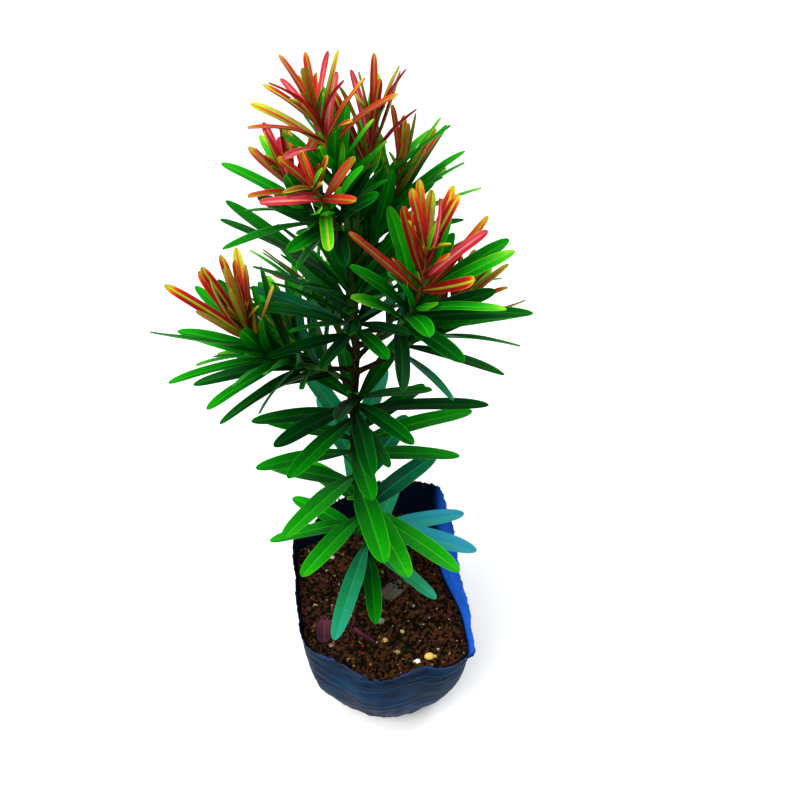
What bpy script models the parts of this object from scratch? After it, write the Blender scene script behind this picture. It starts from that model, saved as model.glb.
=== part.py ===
"""A young podocarpus in a soft nursery bag, built as separate closed solids.

Units are metres and +Z is up. The origin is the centre of the bag's flat foot, on the ground,
and the side that the viewer sees is -Y. The plant is one woody trunk with two whorls of boughs.
Every bough carries a mass of grown green leaves, and past it a flush of red young ones.
The lower trunk carries tiers of broad leaves on thin sleeves of leaf bases.
"""

from collections import namedtuple
from math import cos, pi, radians, sin, sqrt
from random import Random

import bmesh
import bpy
from mathutils import Matrix, Vector
from mathutils.bvhtree import BVHTree

# Clearances
GAP = 0.0003
LEAF_CLEARANCE = 0.0004

# Nursery bag: a thin film shell, round at the foot and pulled out of round at the mouth
BAG_SIDES = 40
BAG_FOOT_RADIUS = 0.041
BAG_WALL = 0.0008
BAG_HEM = 0.003
BAG_TURN_IN = 0.0025
BAG_LEVELS = (0.2, 0.55, 1.0)
BAG_BULGE = 0.006
BAG_TEAR = 0.0010
# Mouth of the bag: azimuth in degrees, film radius at the soil, radius and height of the rim
BAG_MOUTH = (
    (0, 0.037, 0.0434, 0.117), (20, 0.0355, 0.0440, 0.119), (33, 0.039, 0.0475, 0.121),
    (46, 0.0465, 0.0533, 0.123), (54, 0.0525, 0.0585, 0.125), (58.5, 0.0555, 0.0612, 0.126),
    (64, 0.0555, 0.0590, 0.1265), (72, 0.0555, 0.0577, 0.127), (92, 0.054, 0.055, 0.127),
    (120, 0.052, 0.053, 0.122), (142, 0.053, 0.053, 0.116), (155, 0.0592, 0.0600, 0.112),
    (182, 0.052, 0.053, 0.108), (205, 0.0535, 0.0545, 0.104), (223, 0.0595, 0.0605, 0.101),
    (243, 0.057, 0.058, 0.100), (251, 0.0580, 0.0590, 0.100), (259, 0.0608, 0.0621, 0.100),
    (270, 0.0608, 0.0622, 0.100), (281, 0.0595, 0.0605, 0.1003), (292, 0.0585, 0.0594, 0.1006),
    (301, 0.0630, 0.0650, 0.1006), (309, 0.0648, 0.0670, 0.1010), (314, 0.0655, 0.0686, 0.1014),
    (317, 0.0650, 0.0690, 0.1018), (320, 0.0620, 0.0650, 0.1024), (326, 0.0560, 0.0588, 0.1038),
    (334, 0.0500, 0.0535, 0.1070), (344, 0.0435, 0.0480, 0.1125),
)

# Soil: fills the bag to its own level, and sinks in a ring between the trunk and the film
SOIL_LEVEL = 0.095
SOIL_FLAT_RADIUS = 0.005
SOIL_RINGS = (0.2, 0.35, 0.5, 0.65, 0.8, 0.92)
SOIL_RELIEF = 0.0012
SOIL_HOLLOW = 0.0028

# Trunk: height and sideways lean of its middle line, then its radii
TRUNK_LINE = (
    (0.095, -0.0055), (0.128, -0.0082), (0.178, -0.0122), (0.214, -0.0136),
    (0.262, -0.0115), (0.290, -0.0102), (0.345, -0.0110),
)
TRUNK_SIDES = 8
TRUNK_FOOT_RADIUS = 0.0022
TRUNK_TOP_RADIUS = 0.0012
TRUNK_FLARE = 0.0016
TRUNK_FLARE_HEIGHT = 0.007
TRUNK_FOOT = SOIL_LEVEL + GAP
TRUNK_TOP = 0.345
FLARE_SHARES = (0.0, 0.3, 0.65, 1.0)
TRUNK_STEPS = 12

# Boughs and the green stems that carry on from them
BOUGH_SIDES = 6
BOUGH_FOOT_RADIUS = 0.0013
BOUGH_TIP_RADIUS = 0.0010
STEM_RADIUS = 0.0013
STEM_TIP_RADIUS = 0.0009
FLUSH_TIP_RADIUS = 0.0005
BOUGH_START = 0.05
BOUGH_STEPS = 4
STEM_STEPS = 5
FLUSH_STEPS = 3

# Sleeves of leaf bases: how far they reach past the leaves, and how thin their ends are
SLEEVE_WALL = 0.0010
SLEEVE_SIDES = 8
SLEEVE_REACH = 0.002
SLEEVE_SHARES = (0.0, 0.33, 0.67, 1.0)
SLEEVE_END = 0.4
LEAF_SUNK = 0.3

# Leaves: the turn from one leaf to the next, the outline and the thickness
GOLDEN_TURN = 137.5
LEAF_THICKNESS = 0.0007
LEAF_WIDEST_AT = 0.45
LEAF_ROOT_SHARE = 0.25
GROWN_BLUNT = 6
YOUNG_BLUNT = 12
GREEN_STATIONS = (0.0, 0.3, 0.65, 0.9)
FLUSH_STATIONS = (0.0, 0.45, 0.85)
# Leaves turn up to the light, which comes from the viewer's side, and those that
# would hang under a stem twist out until they are nearly level
LEAF_UPTURN = 0.24
LEAF_TWIST_OUT = 0.25
LIGHT = Vector((-0.15, -0.35, 0.60))
# Shares of the tilt away from the stem that are lost between the oldest leaf and the youngest,
# then how far a grown leaf arches back, and how far a leaf sags for its length
GREEN_TILT_LOSS = 0.5
FLUSH_TILT_LOSS = 0.75
GREEN_BEND = 0.30
TIER_BEND = 0.16
GREEN_SAG = (0.04, 0.16)
FLUSH_SAG = 0.05
TIER_SAG = 0.14
# A broad leaf starts this many degrees over its rise, which its sag takes back again,
# and has the full width of its tier at this length in millimetres
TIER_LIFT = 8
TIER_LENGTH = 56
# Where on its stem the first leaf stands, and how far the last stands from the first
GREEN_SPAN = (0.08, 0.86)
FLUSH_SPAN = (0.15, 0.75)
# How leaves of one mass differ: degrees of tilt and roll, and shares of length and width
GREEN_TILT_SPREAD = 6
FLUSH_TILT_SPREAD = 5
GREEN_ROLL = 14
FLUSH_ROLL = 18
TIER_ROLL = 12
LENGTH_SPREAD = (0.88, 1.08)
WIDTH_SPREAD = (0.9, 1.1)
TIER_WIDTH_SPREAD = (0.94, 1.06)
FLUSH_LENGTH_LOSS = 0.27
FLUSH_WIDTH_LOSS = 0.25
# Share of a leaf, from its root, that may touch its neighbours in the same mass
LEAF_CROWDED = 0.3

Leaf = namedtuple("Leaf", "root direction normal length width bend sag blunt")
Shoot = namedtuple(
    "Shoot", "name foot_z tip knee bare green greens grown reds young arch first_turn young_turn")
Tier = namedtuple("Tier", "name low high width leaves")

# Shoots: height on the trunk, tip, how far out and up the knee of the curve lies, lengths of
# bare bough and of green stem, number of grown leaves, their length, width and tilt in degrees,
# number of young leaves, their length, width and tilt, how far the young leaves arch back,
# and the azimuths of the first grown and the first young leaf
BENT_UP = (0.70, 0.30)
UPRIGHT = (1.00, 0.35)
FACING = (0.42, 0.50)
STRAIGHT = (0.25, 0.50)
CURLED = (0.2, 0.9)
ARCHED = (-0.1, 0.5)
CUPPED = (-0.5, 0.3)
SHOOTS = (
    Shoot("leader", TRUNK_TOP, (-0.0201, 0.000, 0.393), STRAIGHT, 0.000, 0.027,
          13, (0.034, 0.0050, 54), 18, (0.031, 0.0034, 55), CURLED, 314, 19),
    Shoot("top_right", 0.335, (-0.001, 0.0187, 0.379), BENT_UP, 0.010, 0.022,
          14, (0.050, 0.0056, 48), 11, (0.034, 0.0038, 36), ARCHED, 23, 197),
    Shoot("upper_right", 0.325, (0.0097, 0.0188, 0.3584), BENT_UP, 0.009, 0.022,
          15, (0.048, 0.0056, 43), 9, (0.036, 0.0036, 42), ARCHED, 75, 328),
    Shoot("upper_left", 0.339, (-0.0323, -0.002, 0.3712), BENT_UP, 0.008, 0.018,
          13, (0.042, 0.0058, 66), 11, (0.025, 0.0042, 58), ARCHED, 132, 227),
    Shoot("upper_front", 0.335, (-0.0205, -0.0216, 0.3755), FACING, 0.014, 0.018,
          8, (0.033, 0.0060, 56), 8, (0.022, 0.0042, 98), ARCHED, 132, 115),
    Shoot("right", 0.286, (0.0185, -0.0198, 0.3492), UPRIGHT, 0.028, 0.022,
          17, (0.049, 0.0070, 62), 14, (0.038, 0.0050, 60), CUPPED, 228, 162),
    Shoot("right_back", 0.270, (0.032, 0.010, 0.303), BENT_UP, 0.018, 0.024,
          15, (0.050, 0.0062, 62), 10, (0.037, 0.0044, 56), CUPPED, 10, 58),
    Shoot("left", 0.272, (-0.0535, -0.0148, 0.3107), UPRIGHT, 0.010, 0.032,
          24, (0.047, 0.0062, 60), 14, (0.043, 0.0048, 45), CUPPED, 279, 323),
    Shoot("left_back", 0.262, (-0.041, 0.012, 0.284), BENT_UP, 0.007, 0.024,
          16, (0.047, 0.0060, 60), 7, (0.034, 0.0050, 56), CUPPED, 110, 210),
    Shoot("back", 0.287, (-0.004, 0.042, 0.304), BENT_UP, 0.010, 0.024,
          15, (0.050, 0.0062, 60), 9, (0.036, 0.0044, 56), ARCHED, 30, 352),
    Shoot("back_left", 0.279, (-0.029, 0.030, 0.297), BENT_UP, 0.008, 0.022,
          14, (0.047, 0.0060, 60), 8, (0.035, 0.0044, 56), ARCHED, 150, 335),
    Shoot("back_right", 0.278, (0.020, 0.033, 0.303), BENT_UP, 0.012, 0.024,
          14, (0.050, 0.0062, 60), 9, (0.036, 0.0044, 56), ARCHED, 80, 265),
)

# Tiers: lowest and highest leaf base, leaf width, and each leaf's azimuth and rise in degrees
# and its length in millimetres, from the lowest leaf up
TIERS = (
    Tier("tier_1", 0.128, 0.150, 0.0100, (
        (-84, -8, 40), (70, 6, 50), (-44, 4, 50), (-104, 0, 60), (150, 4, 48), (12, 2, 54))),
    Tier("tier_2", 0.155, 0.178, 0.0115, (
        (-14, -4, 60), (-160, 8, 50), (100, 12, 52), (-122, 10, 52), (28, 24, 49), (-36, -4, 61),
        (136, -8, 46))),
    Tier("tier_3", 0.183, 0.206, 0.0125, (
        (-64, 4, 58), (58, 14, 48), (178, 14, 44), (-75, 8, 57), (-124, 11, 56), (116, 16, 46))),
    Tier("tier_4", 0.214, 0.232, 0.0100, (
        (-5, 4, 50), (-162, 6, 47), (72, 14, 48), (-78, 20, 50), (8, 14, 58), (176, 15, 45),
        (128, 18, 44), (28, 22, 40))),
    Tier("tier_5", 0.240, 0.257, 0.0088, (
        (-66, 14, 42), (-117, 14, 55), (100, 18, 48), (-168, 5, 46), (-4, 8, 61), (-79, 12, 51),
        (55, 20, 46), (-136, 8, 45), (-53, 12, 43), (150, 18, 46), (-20, 26, 40), (-100, 30, 38))),
    Tier("tier_6", 0.293, 0.303, 0.0076, (
        (-150, 6, 38), (120, 24, 44), (-20, 10, 38), (62, 26, 44), (-112, 10, 32), (170, 20, 46),
        (-62, 12, 30), (20, 26, 42), (-170, 22, 44), (95, 34, 46), (-38, 24, 36), (-132, 26, 38),
        (146, 34, 46), (-5, 32, 42), (-90, 28, 30), (-160, 40, 42))),
    Tier("tier_7", 0.3075, 0.3205, 0.0072, (
        (-160, 30, 44), (-90, 34, 30), (40, 40, 44), (174, 44, 66), (-58, 38, 34), (110, 42, 44),
        (-18, 42, 42), (-125, 40, 38), (140, 52, 46), (64, 52, 44), (-165, 54, 46), (10, 54, 42),
        (-140, 56, 42), (-40, 54, 38), (190, 38, 60), (85, 60, 42))),
)

# Colours
FILM_NAVY = (0.010, 0.016, 0.055)
SOIL_BROWN = (0.060, 0.026, 0.013)
BARK_BROWN = (0.085, 0.055, 0.025)
LEAF_GREEN = (0.020, 0.150, 0.020)
BROAD_GREEN = (0.025, 0.260, 0.030)
FLUSH_RED = (0.560, 0.045, 0.018)


def clear_scene():
    """Empty the scene of objects, keeping the file that the script runs from open."""
    for item in list(bpy.data.objects):
        bpy.data.objects.remove(item, do_unlink=True)


def give_finish(item, colour, roughness):
    """Give an object a material of its own."""
    material = bpy.data.materials.new(item.name + "_finish")
    material.use_nodes = True
    shader = material.node_tree.nodes["Principled BSDF"]
    shader.inputs["Base Color"].default_value = (*colour, 1.0)
    shader.inputs["Roughness"].default_value = roughness
    shader.inputs["Metallic"].default_value = 0.0
    material.diffuse_color = (*colour, 1.0)
    item.data.materials.clear()
    item.data.materials.append(material)


def add_object(name, points, faces):
    """Make a mesh object from points and faces, with its faces turned outwards."""
    mesh = bpy.data.meshes.new(name)
    mesh.from_pydata([tuple(point) for point in points], [], faces)
    shape = bmesh.new()
    shape.from_mesh(mesh)
    bmesh.ops.recalc_face_normals(shape, faces=shape.faces)
    shape.to_mesh(mesh)
    shape.free()
    item = bpy.data.objects.new(name, mesh)
    bpy.context.scene.collection.objects.link(item)
    return item


def shade_round(item, angle=40):
    """Shade an object smooth, except across its sharp edges."""
    item.data.shade_smooth()
    item.data.set_sharp_from_angle(angle=radians(angle))


def ease(rows, place, column, period=None):
    """Read one column of a table at a place, on a smooth curve through its rows."""
    rows = list(rows)
    if period:
        before = tuple([rows[-1][0] - period, *rows[-1][1:]])
        after = [tuple([row[0] + period, *row[1:]]) for row in rows[:2]]
        rows = [before] + rows + after
        place = place % period
        if place < rows[1][0]:
            place += period
    spot = 0
    while spot < len(rows) - 2 and place > rows[spot + 1][0]:
        spot += 1
    low = rows[spot]
    high = rows[spot + 1]
    left = rows[max(spot - 1, 0)]
    right = rows[min(spot + 2, len(rows) - 1)]
    span = high[0] - low[0]
    t = (place - low[0]) / span
    start_slope = (high[column] - left[column]) / (high[0] - left[0]) * span
    end_slope = (right[column] - low[column]) / (right[0] - low[0]) * span
    step = high[column] - low[column]
    return (low[column] + start_slope * t
            + (3 * step - 2 * start_slope - end_slope) * t ** 2
            + (start_slope + end_slope - 2 * step) * t ** 3)


def ring_faces(first, second, count):
    """Quads between two rings of points that start at the given indices."""
    faces = []
    for side in range(count):
        turn = (side + 1) % count
        faces.append((first + side, first + turn, second + turn, second + side))
    return faces


def wall_faces(lower, upper, count):
    """Triangles between two rings, all cut the same way, so that nested walls stay parallel."""
    faces = []
    for side in range(count):
        turn = (side + 1) % count
        faces.append((lower + side, lower + turn, upper + turn))
        faces.append((lower + side, upper + turn, upper + side))
    return faces


def tube(rings):
    """Points and faces of a closed solid through a list of rings, with flat ends."""
    count = len(rings[0])
    points = [point for ring in rings for point in ring]
    faces = [tuple(range(count))[::-1]]
    for level in range(len(rings) - 1):
        faces += ring_faces(level * count, (level + 1) * count, count)
    last = (len(rings) - 1) * count
    faces.append(tuple(range(last, last + count)))
    return points, faces


def ring_round(centre, axis, radius, sides):
    """A ring of points about a centre, square to an axis."""
    turn = axis.to_track_quat("Z", "Y")
    ring = []
    for side in range(sides):
        angle = 2 * pi * side / sides
        ring.append(centre + turn @ Vector((radius * cos(angle), radius * sin(angle), 0.0)))
    return ring


def bag_rim(azimuth):
    """Film radius at the soil, and radius and height of the torn rim, at an azimuth in degrees."""
    soil_radius = ease(BAG_MOUTH, azimuth, 1, period=360)
    rim_radius = ease(BAG_MOUTH, azimuth, 2, period=360)
    rim_height = ease(BAG_MOUTH, azimuth, 3, period=360)
    turn = radians(azimuth)
    rim_height += BAG_TEAR * (0.6 * sin(9 * turn) + 0.4 * sin(14 * turn + 1.0))
    return soil_radius, rim_radius, rim_height


def bag_column(azimuth, inset, floor):
    """Points up the bag's wall at one azimuth, moved inwards by inset."""
    soil_radius, rim_radius, rim_height = bag_rim(azimuth)
    profile = [(BAG_FOOT_RADIUS - BAG_TURN_IN, floor), (BAG_FOOT_RADIUS, BAG_HEM)]
    for level in BAG_LEVELS:
        radius = BAG_FOOT_RADIUS + (soil_radius - BAG_FOOT_RADIUS) * level
        radius += BAG_BULGE * sin(pi * level)
        profile.append((radius, BAG_HEM + (SOIL_LEVEL - BAG_HEM) * level))
    profile.append((rim_radius, rim_height))
    turn = radians(azimuth)
    outward = Vector((cos(turn), sin(turn), 0.0))
    return [outward * (radius - inset) + Vector((0, 0, height)) for radius, height in profile]


def bag_azimuths():
    return [360.0 * side / BAG_SIDES for side in range(BAG_SIDES)]


def build_bag():
    """The film bag: an outer and an inner wall joined over the torn rim."""
    outer = [bag_column(azimuth, 0.0, 0.0) for azimuth in bag_azimuths()]
    inner = [bag_column(azimuth, BAG_WALL, BAG_WALL) for azimuth in bag_azimuths()]
    rings = [list(ring) for ring in zip(*outer)] + [list(ring) for ring in zip(*inner)]
    levels = len(outer[0])
    starts = [level * BAG_SIDES for level in range(2 * levels)]
    faces = [tuple(range(BAG_SIDES)), tuple(range(starts[levels], starts[levels] + BAG_SIDES))]
    for level in range(levels - 1):
        faces += wall_faces(starts[level], starts[level + 1], BAG_SIDES)
        faces += wall_faces(starts[levels + level], starts[levels + level + 1], BAG_SIDES)
    faces += ring_faces(starts[levels - 1], starts[-1], BAG_SIDES)
    item = add_object("bag", [point for ring in rings for point in ring], faces)
    shade_round(item, 60)
    give_finish(item, FILM_NAVY, 0.32)
    return item


def soil_height(azimuth, share):
    """Height of the soil's uneven top; share is 0 at the trunk and 1 at the film."""
    turn = radians(azimuth)
    waves = 0.6 * sin(2 * turn + 0.8) + 0.4 * sin(5 * turn + 2.0)
    hollow = SOIL_HOLLOW * sin(pi * share) ** 2
    return SOIL_LEVEL - hollow + SOIL_RELIEF * sin(pi * share) * waves


def build_soil():
    """The soil: a plug that follows the inside of the bag a gap clear of it."""
    inset = BAG_WALL + GAP
    walls = []
    tops = []
    for azimuth in bag_azimuths():
        wall = bag_column(azimuth, inset, inset)[:-1]
        edge = wall[-1]
        top = []
        for share in SOIL_RINGS[::-1]:
            top.append(Vector((edge.x * share, edge.y * share, soil_height(azimuth, share))))
        middle = Vector((edge.x, edge.y, 0.0)).normalized() * SOIL_FLAT_RADIUS
        top.append(middle + Vector((0, 0, SOIL_LEVEL)))
        walls.append(wall)
        tops.append(top)
    rings = [list(ring) for ring in zip(*walls)] + [list(ring) for ring in zip(*tops)]
    starts = [level * BAG_SIDES for level in range(len(rings))]
    faces = [tuple(range(BAG_SIDES)), tuple(range(starts[-1], starts[-1] + BAG_SIDES))]
    for level in range(len(rings) - 1):
        faces += wall_faces(starts[level], starts[level + 1], BAG_SIDES)
    item = add_object("soil", [point for ring in rings for point in ring], faces)
    shade_round(item, 30)
    give_finish(item, SOIL_BROWN, 0.95)
    return item


def trunk_centre(height):
    return Vector((ease(TRUNK_LINE, height, 1), 0.0, height))


def trunk_radius(height):
    """Trunk radius at a height: a straight taper with a flare at the foot."""
    share = (height - TRUNK_FOOT) / (TRUNK_TOP - TRUNK_FOOT)
    taper = TRUNK_FOOT_RADIUS + (TRUNK_TOP_RADIUS - TRUNK_FOOT_RADIUS) * share
    rise = max(0.0, 1 - (height - TRUNK_FOOT) / TRUNK_FLARE_HEIGHT)
    return taper + TRUNK_FLARE * rise ** 2


def build_trunk():
    """The trunk, from its flat cut on the soil to its tip, whole all the way."""
    heights = [TRUNK_FOOT + TRUNK_FLARE_HEIGHT * share for share in FLARE_SHARES]
    flare_top = heights[-1]
    for step in range(1, TRUNK_STEPS + 1):
        heights.append(flare_top + (TRUNK_TOP - flare_top) * step / TRUNK_STEPS)
    up = Vector((0, 0, 1))
    rings = [ring_round(trunk_centre(height), up, trunk_radius(height), TRUNK_SIDES) for height in heights]
    item = add_object("trunk", *tube(rings))
    shade_round(item)
    give_finish(item, BARK_BROWN, 0.85)
    return item


class ShootLine:
    """The curved middle line of one shoot, from the trunk to its tip."""

    def __init__(self, shoot):
        self.foot = trunk_centre(shoot.foot_z)
        self.tip = Vector(shoot.tip)
        reach = self.tip - self.foot
        out, up = shoot.knee
        self.knee = self.foot + Vector((reach.x * out, reach.y * out, reach.z * up))
        self.length = 0.0
        previous = self.foot
        for step in range(1, 33):
            here = self.place(step / 32)
            self.length += (here - previous).length
            previous = here

    def place(self, t):
        return self.foot * (1 - t) ** 2 + self.knee * 2 * t * (1 - t) + self.tip * t ** 2

    def heading(self, t):
        return ((self.knee - self.foot) * (1 - t) + (self.tip - self.knee) * t).normalized()


def stem_rings(line, start, end, first_radius, last_radius, sides, steps):
    """Rings of a tapering stem along part of a shoot's line."""
    rings = []
    for step in range(steps + 1):
        share = step / steps
        t = start + (end - start) * share
        radius = first_radius + (last_radius - first_radius) * share
        rings.append(ring_round(line.place(t), line.heading(t), radius, sides))
    return rings


def cut_to_trunk(ring, line, foot_z):
    """Slide a ring's points along the bough, on to a plane a gap clear of the trunk."""
    heading = line.heading(0.0)
    flat = Vector((heading.x, heading.y, 0.0)).normalized()
    distance = trunk_radius(foot_z) + GAP * 1.5
    axis = trunk_centre(foot_z)
    cut = []
    for point in ring:
        short = distance - (point - axis).dot(flat)
        cut.append(point + heading * (short / heading.dot(flat)))
    return cut


def leaf_outline(s, blunt):
    """Share of the full width at a place along a leaf: narrow root, rounded tip."""
    shoulder = sin(pi / 2 * min(1.0, s / LEAF_WIDEST_AT))
    return (LEAF_ROOT_SHARE + (1 - LEAF_ROOT_SHARE) * shoulder) * sqrt(max(0.0, 1 - s ** blunt))


def leaf_frame(leaf, s):
    """Middle point, across and normal of a leaf that arches back and sags under its weight."""
    lean = leaf.bend * s
    centre = leaf.root + leaf.length * (s * leaf.direction - lean * s / 2 * leaf.normal)
    centre.z -= leaf.length * leaf.sag * s ** 2 / 2
    heading = leaf.direction - lean * leaf.normal
    heading.z -= leaf.sag * s
    heading.normalize()
    normal = leaf.normal + lean * leaf.direction
    normal = (normal - heading * normal.dot(heading)).normalized()
    return centre, heading.cross(normal), normal


def leaf_solid(leaf, stations, extra=0.0, first=0.0):
    """Points and faces of a leaf: a three-sided blade, or a guard around it with four sides."""
    thickness = LEAF_THICKNESS + extra * 0.5
    rings = []
    for s in [max(first, s) for s in stations if s > first - 0.2]:
        centre, across, normal = leaf_frame(leaf, s)
        half = leaf.width * leaf_outline(s, leaf.blunt) / 2 + extra
        depth = thickness * (0.6 + 0.4 * sin(pi * s))
        ring = [centre - across * half, centre - normal * depth, centre + across * half]
        if extra:
            ring.append(centre + normal * (extra * 0.6))
        rings.append(ring)
    count = len(rings[0])
    points = [point for ring in rings for point in ring]
    faces = [tuple(range(count))[::-1]]
    for level in range(len(rings) - 1):
        faces += ring_faces(level * count, (level + 1) * count, count)
    last = (len(rings) - 1) * count
    tip = len(points)
    points.append(leaf_frame(leaf, 1.0 + extra * 8)[0])
    for side in range(count):
        faces.append((last + side, last + (side + 1) % count, tip))
    return points, faces


class Crown:
    """What has its place in the crown already, so that no leaf is set into anything else."""

    def __init__(self):
        self.whole = {}
        self.outer = {}

    def add(self, node, points, faces):
        self.whole.setdefault(node, []).append(BVHTree.FromPolygons(points, faces))

    def add_leaf(self, node, leaf, stations):
        self.add(node, *leaf_solid(leaf, stations))
        outer = BVHTree.FromPolygons(*leaf_solid(leaf, stations, first=LEAF_CROWDED))
        self.outer.setdefault(node, []).append(outer)

    def is_clear(self, node, leaf, stations):
        guard = BVHTree.FromPolygons(*leaf_solid(leaf, stations, extra=LEAF_CLEARANCE))
        for other, trees in self.whole.items():
            if other != node and any(tree.overlap(guard) for tree in trees):
                return False
        outer = BVHTree.FromPolygons(*leaf_solid(leaf, stations, extra=LEAF_CLEARANCE, first=LEAF_CROWDED))
        return not any(tree.overlap(outer) for tree in self.outer.get(node, []))


def set_leaf(crown, node, stations, make, offsets):
    """Set a leaf where it is clear, turned a little aside if need be, or leave it out."""
    for turn, lift in offsets:
        leaf = make(turn, lift)
        if crown.is_clear(node, leaf, stations):
            crown.add_leaf(node, leaf, stations)
            return leaf
    return None


SIDEWAYS = (0, 9, -9, 18, -18, 27, -27, 36, -36)
SMALL_TURNS = [(turn, lift) for lift in (0, 8, -8, 16, -16) for turn in SIDEWAYS]


def leaf_on_stem(line, t, azimuth, tilt, length, width, bend, sag, roll, blunt=GROWN_BLUNT):
    """A leaf on a shoot: azimuth round the stem and tilt away from its axis, in degrees."""
    axis = line.heading(t)
    side = axis.cross(Vector((0, 0, 1)))
    side = side.normalized() if side.length > 0.05 else Vector((1, 0, 0))
    other = axis.cross(side)
    turn = radians(azimuth)
    outward = side * cos(turn) + other * sin(turn)
    lean = radians(tilt)
    direction = axis * cos(lean) + outward * sin(lean)
    direction.z += LEAF_UPTURN
    direction.z *= LEAF_TWIST_OUT if direction.z < 0 else 1.0
    direction.normalize()
    normal = axis * sin(lean) - outward * cos(lean) + LIGHT
    normal = (normal - direction * normal.dot(direction)).normalized()
    normal = Matrix.Rotation(radians(roll), 3, direction) @ normal
    return Leaf(line.place(t), direction, normal, length, width, bend, sag, blunt)


def green_leaves(crown, shoot, line, start, end):
    """The grown leaves of one shoot, in a spiral from its oldest to its youngest."""
    node = "foliage_" + shoot.name
    draw = Random(shoot.name + " green")
    leaves = []
    for number in range(shoot.greens):
        age = number / (shoot.greens - 1)
        t = start + (end - start) * (GREEN_SPAN[0] + GREEN_SPAN[1] * age)
        azimuth = shoot.first_turn + GOLDEN_TURN * number
        tilt = shoot.grown[2] * (1 - GREEN_TILT_LOSS * age)
        tilt += draw.uniform(-GREEN_TILT_SPREAD, GREEN_TILT_SPREAD)
        length = shoot.grown[0] * (0.84 + 0.5 * age * (1 - age)) * draw.uniform(*LENGTH_SPREAD)
        width = shoot.grown[1] * draw.uniform(*WIDTH_SPREAD)
        roll = draw.uniform(-GREEN_ROLL, GREEN_ROLL)
        sag = draw.uniform(*GREEN_SAG)

        def make(turn, lift):
            return leaf_on_stem(line, t, azimuth + turn, tilt + lift, length, width, GREEN_BEND, sag, roll)

        leaves.append(set_leaf(crown, node, GREEN_STATIONS, make, SMALL_TURNS))
    return [leaf for leaf in leaves if leaf]


def red_leaves(crown, shoot, line, start):
    """The young leaves of one shoot's flush, upright at the tip and spreading below."""
    node = "flush_" + shoot.name
    draw = Random(shoot.name + " red")
    leaves = []
    for number in range(shoot.reds):
        age = number / (shoot.reds - 1)
        t = start + (1.0 - start) * (FLUSH_SPAN[0] + FLUSH_SPAN[1] * age)
        azimuth = shoot.young_turn + GOLDEN_TURN * number
        tilt = shoot.young[2] * (1 - FLUSH_TILT_LOSS * age)
        tilt += draw.uniform(-FLUSH_TILT_SPREAD, FLUSH_TILT_SPREAD)
        length = shoot.young[0] * (1.0 - FLUSH_LENGTH_LOSS * age) * draw.uniform(*LENGTH_SPREAD)
        width = shoot.young[1] * (1.0 - FLUSH_WIDTH_LOSS * age) * draw.uniform(*WIDTH_SPREAD)
        roll = draw.uniform(-FLUSH_ROLL, FLUSH_ROLL)
        bend = draw.uniform(*shoot.arch)

        def make(turn, lift):
            return leaf_on_stem(
                line, t, azimuth + turn, tilt + lift, length, width, bend, FLUSH_SAG, roll, YOUNG_BLUNT)

        leaves.append(set_leaf(crown, node, FLUSH_STATIONS, make, SMALL_TURNS))
    return [leaf for leaf in leaves if leaf]


def tier_leaves(crown, tier):
    """The broad leaves of one tier, each at its own azimuth and rise."""
    node = "leaves_" + tier.name
    draw = Random(tier.name)
    leaves = []
    for number, (azimuth, rise, length) in enumerate(tier.leaves):
        height = tier.low + (tier.high - tier.low) * (number + 0.5) / len(tier.leaves)
        width = tier.width * (0.7 + 0.3 * length / TIER_LENGTH) * draw.uniform(*TIER_WIDTH_SPREAD)
        roll = draw.uniform(-TIER_ROLL, TIER_ROLL)

        def make(turn, lift):
            around = radians(azimuth + turn)
            up = radians(rise + lift + TIER_LIFT)
            outward = Vector((cos(around), sin(around), 0.0))
            direction = outward * cos(up) + Vector((0, 0, sin(up)))
            normal = Vector((0, 0, cos(up))) - outward * sin(up)
            normal = Matrix.Rotation(radians(roll), 3, direction) @ normal
            sunk = trunk_radius(height) + GAP + SLEEVE_WALL * LEAF_SUNK
            root = trunk_centre(height) + outward * sunk
            return Leaf(root, direction, normal, length / 1000, width, TIER_BEND, TIER_SAG, GROWN_BLUNT)

        leaves.append(set_leaf(crown, node, GREEN_STATIONS, make, SMALL_TURNS))
    return [leaf for leaf in leaves if leaf]


def sleeve_rings(tier):
    """Rings of the thin sleeve of leaf bases round the trunk, inside and outside."""
    inner = []
    outer = []
    for share in SLEEVE_SHARES:
        height = tier.low - SLEEVE_REACH + (tier.high - tier.low + 2 * SLEEVE_REACH) * share
        radius = trunk_radius(height) + GAP * 1.1
        edge = SLEEVE_END if share in (0.0, 1.0) else 1.0
        up = Vector((0, 0, 1))
        inner.append(ring_round(trunk_centre(height), up, radius, SLEEVE_SIDES))
        outer.append(ring_round(trunk_centre(height), up, radius + SLEEVE_WALL * edge, SLEEVE_SIDES))
    return inner, outer


def sleeve(tier):
    """Points and faces of the closed ring-shaped sleeve of one tier."""
    inner, outer = sleeve_rings(tier)
    rings = outer + inner[::-1]
    points = [point for ring in rings for point in ring]
    faces = []
    for level in range(len(rings)):
        following = (level + 1) % len(rings)
        faces += ring_faces(level * SLEEVE_SIDES, following * SLEEVE_SIDES, SLEEVE_SIDES)
    return points, faces


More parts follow.
